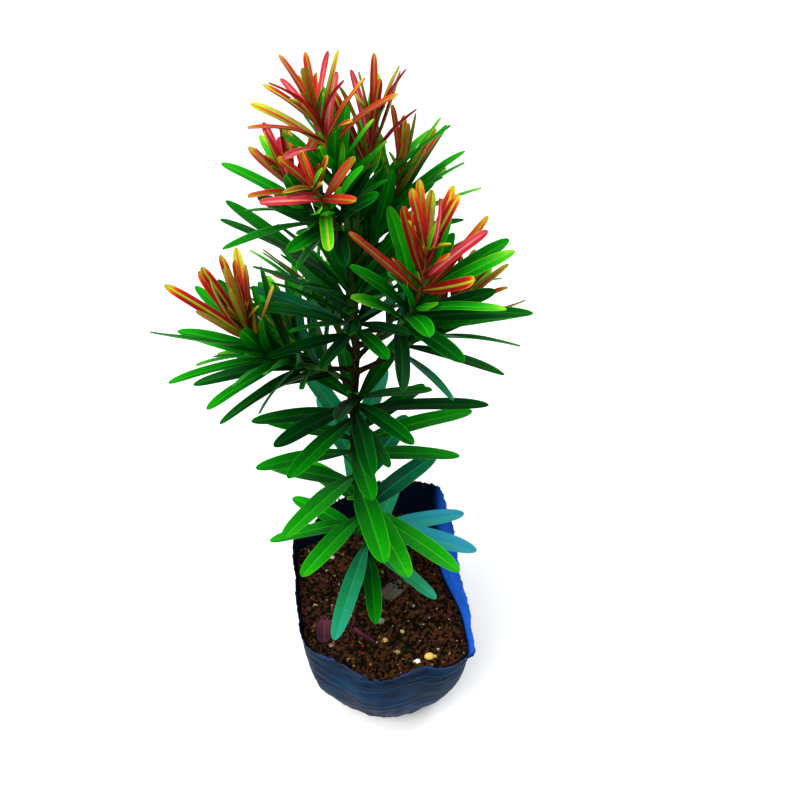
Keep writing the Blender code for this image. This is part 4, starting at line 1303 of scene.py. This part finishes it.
def bark_finish():
    """Brown bark low down that turns olive towards the young wood."""
    recipe = Recipe("young_bark", 0.85, 0.05)
    fine = recipe.grain(recipe.stretch((900.0, 900.0, 260.0)), 1.0, 5.0, 0.65)
    patches = recipe.grain(recipe.place, 130.0, 3.0)
    brown = recipe.mix(recipe.between(fine, 0.38, 0.62), BARK_DARK, BARK_BROWN)
    high = recipe.between(recipe.axis("Z"), 0.280, 0.330)
    young = recipe.times(high, recipe.between(patches, 0.20, 0.45))
    colour = recipe.mix(young, brown, BARK_OLIVE)
    return recipe.finish(colour, None, fine, 0.5, 0.0003)


STRIP_RINGS = 40
STRIPS_ACROSS = 8
trunk = add_mesh("trunk_and_boughs", bark.points, bark.faces, [bark_finish()])


def map_limbs(item, limbs):
    """Lay every limb's side out as strips of the flat map, in rows one above another."""
    layer = item.data.uv_layers.new(name="OFBake")
    strips = [-(-len(rings) // STRIP_RINGS) for rings in limbs]
    rows = -(-sum(strips) // STRIPS_ACROSS)
    polygons = iter(item.data.polygons)
    for number, rings in enumerate(limbs):
        count = len(rings[0])
        side_faces = (len(rings) - 1) * count
        for face in range(-1, side_faces + 1):
            is_cap = face in (-1, side_faces)
            level, side = (0, 0) if is_cap else divmod(face, count)
            row, column = divmod(sum(strips[:number]) + level // STRIP_RINGS, STRIPS_ACROSS)
            for corner, loop in enumerate(next(polygons).loop_indices):
                if is_cap:
                    turn = 2 * pi * corner / count
                    place = (0.975 + 0.01 * cos(turn), 0.5 + 0.01 * sin(turn))
                else:
                    place = (0.04 + 0.86 * (side + (corner in (1, 2))) / count,
                             0.04 + 0.92 * (level % STRIP_RINGS + (corner in (2, 3))) / STRIP_RINGS)
                layer.data[loop].uv = ((column + place[0]) / STRIPS_ACROSS, (row + place[1]) / rows)


map_limbs(trunk, limbs)
shade_round(trunk, 60)
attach(trunk, "root")
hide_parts("trunk", *["bough_" + shoot.name for shoot in SHOOTS if shoot.bare])
print("Limbs:", len(limbs))

# %% [markdown]
# ## Leaf colours
#
# A grown leaf is dark and glossy, with a lighter midrib and a thin pale edge. A young leaf
# starts red, with a broad olive midrib and a golden edge and tip. Each kind of colour is a
# ramp of plain colours, blended between a few keys. A palette gives a leaf's blade, midrib,
# edge and underside a ramp each, and the stops along it from the leaf's root to its tip.

# %% Mix the leaf colours
RAMPS = {
    "green": (
        (0.0004, 0.010, 0.003), (0.0006, 0.032, 0.004), (0.001, 0.080, 0.003), (0.002, 0.165, 0.002),
        (0.006, 0.290, 0.003), (0.060, 0.400, 0.008), (0.290, 0.580, 0.020)),
    "teal": (
        (0.001, 0.022, 0.014), (0.002, 0.075, 0.032), (0.006, 0.185, 0.058), (0.016, 0.250, 0.150),
        (0.020, 0.235, 0.340)),
    "red": (
        (0.070, 0.002, 0.003), (0.190, 0.004, 0.006), (0.370, 0.010, 0.007), (0.540, 0.048, 0.008),
        (0.620, 0.140, 0.010), (0.560, 0.330, 0.014), (0.330, 0.480, 0.018)),
    "rose": ((0.140, 0.005, 0.008), (0.360, 0.010, 0.026), (0.520, 0.035, 0.065), (0.700, 0.270, 0.210)),
    "olive": ((0.095, 0.032, 0.004), (0.140, 0.098, 0.006), (0.215, 0.240, 0.010), (0.370, 0.530, 0.016)),
    "dead": ((0.012, 0.006, 0.010), (0.045, 0.010, 0.020), (0.100, 0.018, 0.040), (0.036, 0.040, 0.022),
             (0.075, 0.078, 0.045)),
}
BLENDS = 5
LEAF_ROUGHNESS = 0.38
SHEEN = {"green": 0.025, "teal": 0.05, "red": 0.10, "rose": 0.16, "olive": 0.08, "dead": 0.05}
COLOURS = {}
GLOSS = {}
for ramp, keys in RAMPS.items():
    for number in range((len(keys) - 1) * BLENDS + 1):
        key, part = divmod(number, BLENDS)
        after = Vector(keys[min(key + 1, len(keys) - 1)])
        name = f"{ramp}_{number}"
        COLOURS[name] = tuple(Vector(keys[key]).lerp(after, part / BLENDS))
        GLOSS[name] = plain("leaf_" + name, COLOURS[name], LEAF_ROUGHNESS, SHEEN[ramp])
TONE = {name: number for number, name in enumerate(COLOURS)}

Palette = namedtuple("Palette", "blade rib edge under")
# Each palette: a ramp and stops along it for blade, rib, edge and underside
PALETTE_ROWS = {
    "deep": "green 0 0.4 0.7 1 | green 1 1.9 | green 1 1.8 3.4 | green 1 2",
    "dark": "green 0.3 0.8 1.1 1.4 2.2 | green 1.6 2.2 2.8 | green 1.6 2.6 4.2 | green 1.6 2.4",
    "leaf": "green 0.7 1.5 2 2.5 3.2 | green 2.4 3.1 3.6 | green 2.2 3.4 4.8 | green 2 2.6",
    "grass": "green 1 1.9 2.6 3.1 3.8 | green 3 3.7 4.4 | green 2.8 3.8 5 | green 2.2 3",
    "bright": "green 1.3 2.5 3.2 3.5 4.1 | green 3.2 4.1 4.8 | green 3 4.2 5.2 | green 2.4 3.2",
    "tipped": "green 1 2 2.6 3.3 4.2 5.6 | green 2.6 3.9 5.2 | green 2.8 4.6 6 | green 2.4 3.6",
    "pale": "green 3 3.8 4.5 5.2 | green 4.4 5.4 | green 4.8 6 | green 3.4 4.4",
    "teal": "teal 0.4 0.9 1.2 1.6 | teal 1.8 2.3 | teal 1.4 2 | green 2 2.4",
    "sea": "teal 1.1 1.6 2 2.3 2.8 | teal 2.4 3 | teal 2.2 3 | green 2.6",
    "blue": "teal 2.4 3.2 3.6 3.8 | teal 3.6 4 | teal 3.4 4 | teal 2",
    "scarlet": "red 0.4 0.9 1.3 1.7 1.9 2 2 2.1 2.6 5 | olive 1 0.8 1 1.2 1.6 2.6 | "
               "red 1 1.4 1.7 2 2.2 2.6 3.4 5.4 | red 0.8 1.4 2",
    # The rose midrib rises to a pale pink, a painted highlight along the fold.
    "rose": "rose 0.4 1 1.4 1.6 1.5 1.3 1 | rose 1.6 2.2 2.6 2.4 2 | "
            "red 1.2 1.7 1.9 2.1 2.6 3.4 5.2 | rose 0.4 1",
    "crimson": "red 0.3 0.6 0.9 1.2 1.4 1.5 1.6 1.8 2.4 4.6 | olive 0.8 0.9 1.2 1.5 2.4 | "
               "red 0.8 1.2 1.4 1.6 1.9 2.4 3.2 5 | red 0.6 1.2",
    "bronze": "red 0.8 0.6 0.5 0.6 0.8 1 1.2 1.5 2.2 5.6 | olive 1.1 1.5 1.8 2 2.4 3 | "
              "red 1.2 1.4 1.5 1.7 2 2.6 4.2 6 | olive 0.8 1.4",
    "flame": "red 0.9 1.4 1.7 1.9 2.1 2.3 2.5 2.9 3.6 5.2 | olive 1.4 1.2 1.4 1.8 2.6 | "
             "red 1.6 2 2.2 2.5 2.9 3.4 4.2 5.6 | red 1.2 2",
    "ember": "olive 1.6 1.2 1 1.4 1.9 3 | red 1.2 1.4 1.8 3.4 | red 1.6 2 2.4 2.8 3.8 5.4 | olive 1 1.6",
    "gold": "olive 2.2 1.6 1.6 1.9 2.2 3 | red 1.6 1.8 2 4 | red 2.6 3.4 4 5.4 | olive 1 1.6",
    "turning": "green 2.4 3.4 3.9 4.3 4.8 5.6 | olive 1.8 2.2 2.8 | olive 1 1.6 2.4 3 | green 3.2 4",
    "dead": "dead 1 1.6 1 0.4 1.2 | dead 2 1.4 | dead 0 0.6 | dead 0 0.4",
    "faded": "dead 3 3.4 3 2.6 | dead 3.4 3 | dead 2.6 3 | dead 2.4 3",
}


def read_part(text):
    """A ramp's name and its stops, out of one part of a palette's row."""
    ramp, *stops = text.split()
    return (ramp, *[float(stop) for stop in stops])


PALETTES = {name: Palette(*[read_part(part) for part in row.split("|")])
            for name, row in PALETTE_ROWS.items()}
print("Leaf colours:", len(COLOURS), "palettes:", len(PALETTES))


# %% [markdown]
# ## One fine leaf
#
# A leaf is a thin blade, folded a little along its midrib, with edges that roll under and
# ripple. Each ring across it has nine points on top and seven below, and they meet in a
# sharp edge. Rings lie closer together towards the tip, so that it comes out round.
# The half that folds away from the lamp is painted a shade darker than the other, and the half towards it a
# shade lighter: painted shade and light.


# %% Shape a fine leaf
LEAF_RINGS = 26
MOTTLE = 0.012
FOLD_SHADE = 0.2
KEY_WAY = Vector((-0.45, -0.45, 0.85)).normalized()
BLADE_THICKNESS = 0.00034
RIB_THICKNESS = 0.00030
GROOVE_DEPTH = 0.00012
THIN_HALF = 0.0012
# The blade's fold and the roll of its edges, in thicknesses, then its ripples along the edge
FOLD = 0.9
EDGE_ROLL = 0.16
RIPPLE_RATE = 9
RIPPLE_LAG = 1.3


def tone_at(colours, share, shift=0.0):
    """The number of the plain colour at a share of the leaf's length, on one part of a palette."""
    ramp, *stops = colours
    spot = clamp(share) * (len(stops) - 1)
    low = int(spot)
    high = min(low + 1, len(stops) - 1)
    value = stops[low] + (stops[high] - stops[low]) * (spot - low) + shift
    value = max(0.0, min(len(RAMPS[ramp]) - 1.0, value))
    return TONE[f"{ramp}_{round(value * BLENDS)}"]


def fine_leaf(leaf, palette, draw, rib_half=0.12, edge_from=0.86, twist=0.0, ripple=0.05, sink=0.02):
    """Points, faces and tones of one fine leaf on the frame of its plain leaf."""
    top = (-1.0, -edge_from, -0.5, -rib_half, 0.0, rib_half, 0.5, edge_from, 1.0)
    under = top[-2:0:-1]
    phase = draw.uniform(0, 2 * pi)
    tint = draw.uniform(-0.05, 0.05)
    stations = [-sink] + [sin(pi / 2 * ring / LEAF_RINGS) for ring in range(LEAF_RINGS)] + [0.9997]
    rings = []
    for s in stations:
        share = max(0.0, s)
        centre, across, normal = leaf_frame(leaf, s)
        turn = Matrix.Rotation(twist * share, 3, across.cross(normal))
        across = turn @ across
        normal = turn @ normal
        half = leaf.width * leaf_outline(share, leaf.blunt) / 2
        depth = LEAF_THICKNESS * belly(share)
        thin = min(1.0, half / THIN_HALF)
        ring = []
        for number, u in enumerate(top + under):
            lag = RIPPLE_LAG if u > 0 else 0.0
            wave = ripple * half * u * abs(u) * sin(RIPPLE_RATE * s + phase + lag)
            lift = depth * FOLD * (abs(u) - 1) - EDGE_ROLL * depth * abs(u) ** 6 + wave
            if number < len(top):
                lift -= GROOVE_DEPTH * thin * max(0.0, 1 - abs(u) / max(rib_half, 0.05))
            else:
                lift -= BLADE_THICKNESS * (1 - 0.6 * u * u) * (0.35 + 0.65 * thin)
                lift -= RIB_THICKNESS * (1 - share) * (abs(u) <= rib_half)
            ring.append(centre + across * (half * u) + normal * lift)
        rings.append(ring)
    points, faces = tube(rings)
    # Painted shade: the half of the blade facing away from the key lamp is painted darker, and the other
    # half lighter.
    shift = FOLD_SHADE if leaf_frame(leaf, 0.5)[1].dot(KEY_WAY) > 0 else -FOLD_SHADE
    tones = [tone_at(palette.rib, 0.0)]
    for level in range(len(rings) - 1):
        middle = (stations[level] + stations[level + 1]) / 2 + tint
        zones = [palette.edge, palette.blade, palette.blade, palette.rib]
        for number, colours in enumerate(zones + zones[::-1]):
            side = shift if number < len(zones) else -shift
            tones.append(tone_at(colours, middle + draw.uniform(-MOTTLE, MOTTLE), side))
        below = tone_at(palette.under, middle)
        rib = tones[-5]
        tones += [below, below, below, rib, rib, below, below, below]
    tones.append(tone_at(palette.edge, 1.0))
    return points, faces, tones


def build_leaves(name, bundle, nodes):
    """Make one piece of a bundle of leaves, with only the colours that it uses."""
    used = sorted(set(bundle.tones))
    names = list(COLOURS)
    materials = [GLOSS[names[tone]] for tone in used]
    tones = [used.index(tone) for tone in bundle.tones]
    item = add_mesh(name, bundle.points, bundle.faces, materials, tones)
    shade_round(item, 60)
    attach(item, "root")
    if nodes:
        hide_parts(*nodes)
    item.data.calc_loop_triangles()
    print(name, "has", len(item.data.loop_triangles), "triangles in", len(used), "colours")


print("Rings in a leaf:", LEAF_RINGS + 2)

# %% [markdown]
# ## Broad leaves
#
# The oldest leaves stand on the lower trunk. The lowest are bright green from above, a few are painted
# blue-green for the shade of the bag, and those under the crown are painted dark for its shade, with a pale
# edge.

# %% Build the broad leaves
# Painted shade: blue-green palettes low down stand for the shade of the bag, and the dark and deep ones of
# the upper tiers for the shade under the crown.
TIER_PALETTES = {
    "tier_1": "leaf sea sea sea grass blue",
    "tier_2": "blue grass sea bright teal bright grass",
    "tier_3": "bright teal leaf grass bright sea",
    "tier_4": "leaf leaf sea leaf grass leaf sea dark",
    "tier_5": "dark leaf leaf dark deep dark leaf deep dark grass dark deep",
    "tier_6": "deep dark dark dark deep teal leaf dark dark leaf deep dark leaf teal deep dark",
    "tier_7": "dark deep leaf leaf leaf teal leaf dark tipped leaf dark leaf tipped leaf dark leaf",
}
broad = Bundle()
for tier in TIERS:
    draw = Random(tier.name + " fine")
    names = TIER_PALETTES[tier.name].split()
    for number, leaf in LEAVES["leaves_" + tier.name]:
        shape = fine_leaf(
            leaf, PALETTES[names[number]], draw, rib_half=0.075, edge_from=0.93,
            twist=draw.uniform(-0.25, 0.25), ripple=0.045, sink=0.03)
        broad.add(*shape)
build_leaves("broad_leaves", broad, ["leaves_" + tier.name for tier in TIERS])

# %% [markdown]
# ## Grown leaves of the boughs
#
# They darken with age. The oldest, deep in the crown, are nearly black-green, partly for age and partly as
# painted shade, and the youngest, next to the flush, are still bright with yellow-green tips. The shoots at
# the top stand in full light, and their leaves are painted brighter for it. Three short round leaves close
# each year's growth, just below the flush.

# %% Build the grown leaves
# The darkest palettes, for the oldest leaves deep in the crown, are partly painted shade.
AGE_PALETTES = (
    "deep dark teal", "dark dark leaf", "dark leaf tipped", "leaf grass tipped", "grass tipped bright")
# Painted light: the shoots at the top get brighter palettes for the full light on them.
PAINTED_LIGHT_LIFT = {"leader": 0.25, "top_right": 0.30, "upper_right": 0.30, "right": 0.08, "left": 0.12}
# Short leaves at the end of the year's growth: number, turn of the first, step down the stem,
# and ranges of tilt, length, width and roll
SHORT_LEAVES = 3
SHORT_TURN = 77
SHORT_STEP = 0.03
SHORT_RANGES = ((46, 66), (0.010, 0.015), (0.0042, 0.0056), (-20, 20))


def age_palette(age, draw):
    """A palette for a grown leaf: the younger, the brighter."""
    row = AGE_PALETTES[min(len(AGE_PALETTES) - 1, int(age * len(AGE_PALETTES)))]
    return PALETTES[draw.choice(row.split())]


grown = Bundle()
for shoot in SHOOTS:
    draw = Random(shoot.name + " fine")
    line = LINES[shoot.name]
    for age, leaf in LEAVES["foliage_" + shoot.name]:
        light = age + PAINTED_LIGHT_LIFT.get(shoot.name, 0.0)
        shape = fine_leaf(
            leaf, age_palette(light, draw), draw, rib_half=0.10, edge_from=0.90,
            twist=draw.uniform(-0.3, 0.3), ripple=0.05)
        grown.add(*shape)
    for number in range(SHORT_LEAVES):
        tilt, length, width, roll = [draw.uniform(*span) for span in SHORT_RANGES]
        azimuth = shoot.first_turn + SHORT_TURN + GOLDEN_TURN * number
        t = line.green_end - SHORT_STEP * number
        leaf = leaf_on_stem(line, t, azimuth, tilt, length, width, -0.5, 0.02, roll)
        grown.add(*fine_leaf(leaf, PALETTES["pale"], draw, ripple=0.02))
build_leaves("grown_leaves", grown, ["foliage_" + shoot.name for shoot in SHOOTS])

# %% [markdown]
# ## Young leaves
#
# The new flush is red where the light falls on it, and yellow-green in the crown's shade.
# Young leaves are thin, so they curl and twist more than grown ones. A few tiny leaves still
# stand upright around the growing point of each shoot.

# %% Build the young leaves
FLUSH_PALETTES = {
    "leader": "flame rose scarlet gold bronze rose scarlet",
    "top_right": "bronze rose scarlet ember",
    "upper_right": "bronze ember turning scarlet",
    "upper_left": "scarlet rose flame scarlet",
    "upper_front": "turning flame rose scarlet crimson rose bronze crimson",
    "right": "flame crimson bronze ember scarlet rose crimson scarlet bronze scarlet rose flame "
             "bronze crimson",
    "right_back": "bronze scarlet flame ember",
    "left": "gold leaf ember crimson ember scarlet bronze ember bronze gold crimson bronze ember scarlet",
    "left_back": "turning leaf tipped",
    "back": "turning bronze leaf",
    "back_left": "turning bronze leaf",
    "back_right": "bronze turning scarlet",
}
# Tiny leaves at the tip: number, turn of the first, place of the first on the line, step to the
# next, and ranges of tilt, length, width, bend and roll
TINY_LEAVES = 5
TINY_TURN = 31
TINY_START = 0.96
TINY_STEP = 0.008
TINY_RANGES = ((12, 40), (0.008, 0.014), (0.0018, 0.0026), (0.3, 0.9), (-25, 25))
TINY_PALETTES = ("flame", "gold", "ember", "turning")

young = Bundle()
for shoot in SHOOTS:
    draw = Random(shoot.name + " young")
    line = LINES[shoot.name]
    choice = FLUSH_PALETTES[shoot.name].split()
    for number, (age, leaf) in enumerate(LEAVES["flush_" + shoot.name]):
        shape = fine_leaf(
            leaf, PALETTES[choice[number % len(choice)]], draw, rib_half=0.22, edge_from=0.90,
            twist=draw.uniform(-0.5, 0.5), ripple=0.07)
        young.add(*shape)
    for number in range(TINY_LEAVES):
        tilt, length, width, bend, roll = [draw.uniform(*span) for span in TINY_RANGES]
        azimuth = shoot.first_turn + TINY_TURN + GOLDEN_TURN * number
        t = TINY_START + TINY_STEP * number
        leaf = leaf_on_stem(line, t, azimuth, tilt, length, width, bend, 0.02, roll)
        young.add(*fine_leaf(leaf, PALETTES[draw.choice(TINY_PALETTES)], draw, rib_half=0.2))
build_leaves("young_leaves", young, ["flush_" + shoot.name for shoot in SHOOTS])

# %% [markdown]
# ## Shoots in the axils
#
# Where an old leaf meets the trunk, a bud has begun to open here and there. Each is a pair of
# tiny yellow-green leaves close to the bark, between the tiers of broad leaves.

# %% Build the axil shoots
AXILS = (
    (0.152, -75, 7), (0.154, -150, 6), (0.181, -40, 8), (0.180, -120, 9), (0.209, -95, 7),
    (0.211, 140, 8), (0.236, -60, 8), (0.237, -140, 7), (0.259, -100, 7), (0.182, 60, 8),
)
axils = Bundle()
draw = Random("axils")
for height, azimuth, length in AXILS:
    for side in (-1, 1):
        outward = outward_at(azimuth + 24 * side)
        direction = (outward * 0.8 + UP).normalized()
        normal = (UP * 0.8 - outward).normalized()
        root = trunk_centre(height) + outward * trunk_radius(height) * 0.8
        size = length * draw.uniform(0.7, 1.0) / 1000
        leaf = Leaf(root, direction, normal, size, size * 0.38, 0.5, 0.1, GROWN_BLUNT)
        axils.add(*fine_leaf(leaf, PALETTES["pale"], draw, ripple=0.02))
build_leaves("axil_shoots", axils, [])

# %% [markdown]
# ## Litter on the soil
#
# A few dry leaves and small stones lie on the soil. The dry leaves have turned purple-brown or
# grey, and they curl. A stone is a round mesh pushed in and out by noise, in one plain colour.


# %% Lay the litter
def ground(x, y):
    """The point on the soil's fine surface over a place."""
    azimuth = degrees(atan2(y, x))
    place = Vector((x, y, 0.0))
    share = place.length / (film_radius(azimuth, SOIL_LEVEL) - SOIL_INSET)
    return place + UP * soil_top(azimuth, place, min(1.0, share))


# Dry leaves: root, heading in degrees, length and width in millimetres, curl and palette
DRY_LEAVES = (
    (-0.0225, -0.0235, -48, 24, 3.4, -0.5, "dead"), (-0.0350, -0.0215, -88, 19, 9.5, -0.3, "dead"),
    (-0.0450, 0.0030, -12, 15, 3.0, 0.6, "dead"), (-0.0400, 0.0080, -62, 12, 2.6, -0.6, "dead"),
    (-0.0330, 0.0040, -150, 11, 2.4, 0.5, "dead"), (0.0150, 0.0080, -128, 26, 10.0, -0.4, "faded"),
    (0.0390, -0.0180, -100, 13, 3.2, 0.5, "dead"), (0.0110, 0.0310, 20, 16, 4.2, -0.4, "dead"),
    (-0.0120, 0.0300, 160, 18, 3.6, 0.4, "faded"), (-0.0140, -0.0400, 10, 7, 2.0, 0.4, "scarlet"),
)
DRY_ROOT_LIFT = 0.0010
DRY_TIP_LIFT = 0.0012
litter = Bundle()
draw = Random("litter")
for x, y, heading, length, width, curl, palette in DRY_LEAVES:
    turn = radians(heading)
    end = ground(x + length / 1000 * cos(turn), y + length / 1000 * sin(turn))
    root = ground(x, y) + UP * DRY_ROOT_LIFT
    direction = (end + UP * DRY_TIP_LIFT - root).normalized()
    normal = Vector((draw.uniform(-0.3, 0.3), draw.uniform(-0.3, 0.3), 1.0))
    normal = (normal - direction * normal.dot(direction)).normalized()
    leaf = Leaf(root, direction, normal, length / 1000, width / 1000, curl, 0.0, GROWN_BLUNT)
    litter.add(*fine_leaf(leaf, PALETTES[palette], draw, twist=draw.uniform(-0.5, 0.5), ripple=0.12))
build_leaves("dry_leaves", litter, [])

# %% Lay the stones
# Stones: place, radius in millimetres and colour
STONES = (
    (0.0252, -0.0466, 2.2, (0.640, 0.430, 0.090)), (0.0188, -0.0498, 1.5, (0.700, 0.700, 0.640)),
    (-0.0021, -0.0235, 2.0, (0.130, 0.150, 0.120)), (0.0004, -0.0355, 1.5, (0.420, 0.300, 0.080)),
    (0.0076, -0.0432, 1.4, (0.230, 0.190, 0.080)), (0.0104, -0.0299, 1.2, (0.330, 0.250, 0.070)),
    (0.0306, -0.0423, 1.1, (0.300, 0.260, 0.120)), (0.0287, -0.0463, 1.0, (0.420, 0.330, 0.120)),
    (-0.0173, -0.0066, 0.9, (0.700, 0.700, 0.680)), (0.0170, -0.0130, 1.0, (0.120, 0.150, 0.120)),
    (-0.0300, -0.0400, 1.3, (0.230, 0.130, 0.050)), (-0.0150, 0.0250, 1.6, (0.200, 0.150, 0.080)),
    (0.0180, 0.0300, 1.4, (0.350, 0.280, 0.110)), (-0.0330, 0.0200, 1.2, (0.420, 0.400, 0.330)),
)


def stone(x, y, radius):
    """Points and faces of one stone, half sunk in the soil."""
    shape = bmesh.new()
    bmesh.ops.create_icosphere(shape, subdivisions=3, radius=radius)
    centre = ground(x, y) + UP * (radius * 0.35)
    squash = Vector((1.15, 1.0, 0.72))
    points = []
    for corner in shape.verts:
        swell = 1 + 0.28 * noise.noise(corner.co / radius * 1.3 + Vector((x, y, 0)) * 900)
        points.append(centre + corner.co * squash * swell)
    faces = [tuple(corner.index for corner in face.verts) for face in shape.faces]
    shape.free()
    return points, faces


stones = Bundle()
for number, (x, y, radius, _) in enumerate(STONES):
    points, faces = stone(x, y, radius / 1000)
    stones.add(points, faces, [number] * len(faces))
finishes = [plain(f"stone_{number}", row[3], 0.85, 0.2) for number, row in enumerate(STONES)]
stone_piece = add_mesh("stones", stones.points, stones.faces, finishes, stones.tones)
shade_round(stone_piece, 60)
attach(stone_piece, "root")
print("Stones:", len(STONES), "dry leaves:", len(DRY_LEAVES))

# %% [markdown]
# ## Green stems
#
# Between the bough and the tip the stem is still green, and reddish under the flush.
# It is a fine tube with the same relief as the bark, but softer.

# %% Build the stems
STEM_RINGS = 24
STEM_SIDES = 14
stem_green = plain("stem_green", (0.032, 0.090, 0.008), 0.5, 0.1)
stem_red = plain("stem_red", (0.170, 0.050, 0.012), 0.5, 0.1)
stems = Bundle()
for number, shoot in enumerate(SHOOTS):
    line = LINES[shoot.name]
    for tone, start, end, first, last in (
            (0, line.bare_end * 0.99, line.green_end, STEM_RADIUS, STEM_TIP_RADIUS),
            (1, line.green_end * 0.995, 1.0, STEM_TIP_RADIUS, FLUSH_TIP_RADIUS)):
        shares = [step / STEM_RINGS for step in range(STEM_RINGS + 1)]
        places = [line.place(start + (end - start) * share) for share in shares]
        radii = [first + (last - first) * share for share in shares]
        points, faces = tube(limb_rings(places, radii, STEM_SIDES, 11.3 + number, 0.7))
        stems.add(points, faces, [tone] * len(faces))
stem_piece = add_mesh("green_stems", stems.points, stems.faces, [stem_green, stem_red], stems.tones)
shade_round(stem_piece, 60)
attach(stem_piece, "root")
print("Stem faces:", len(stems.faces))
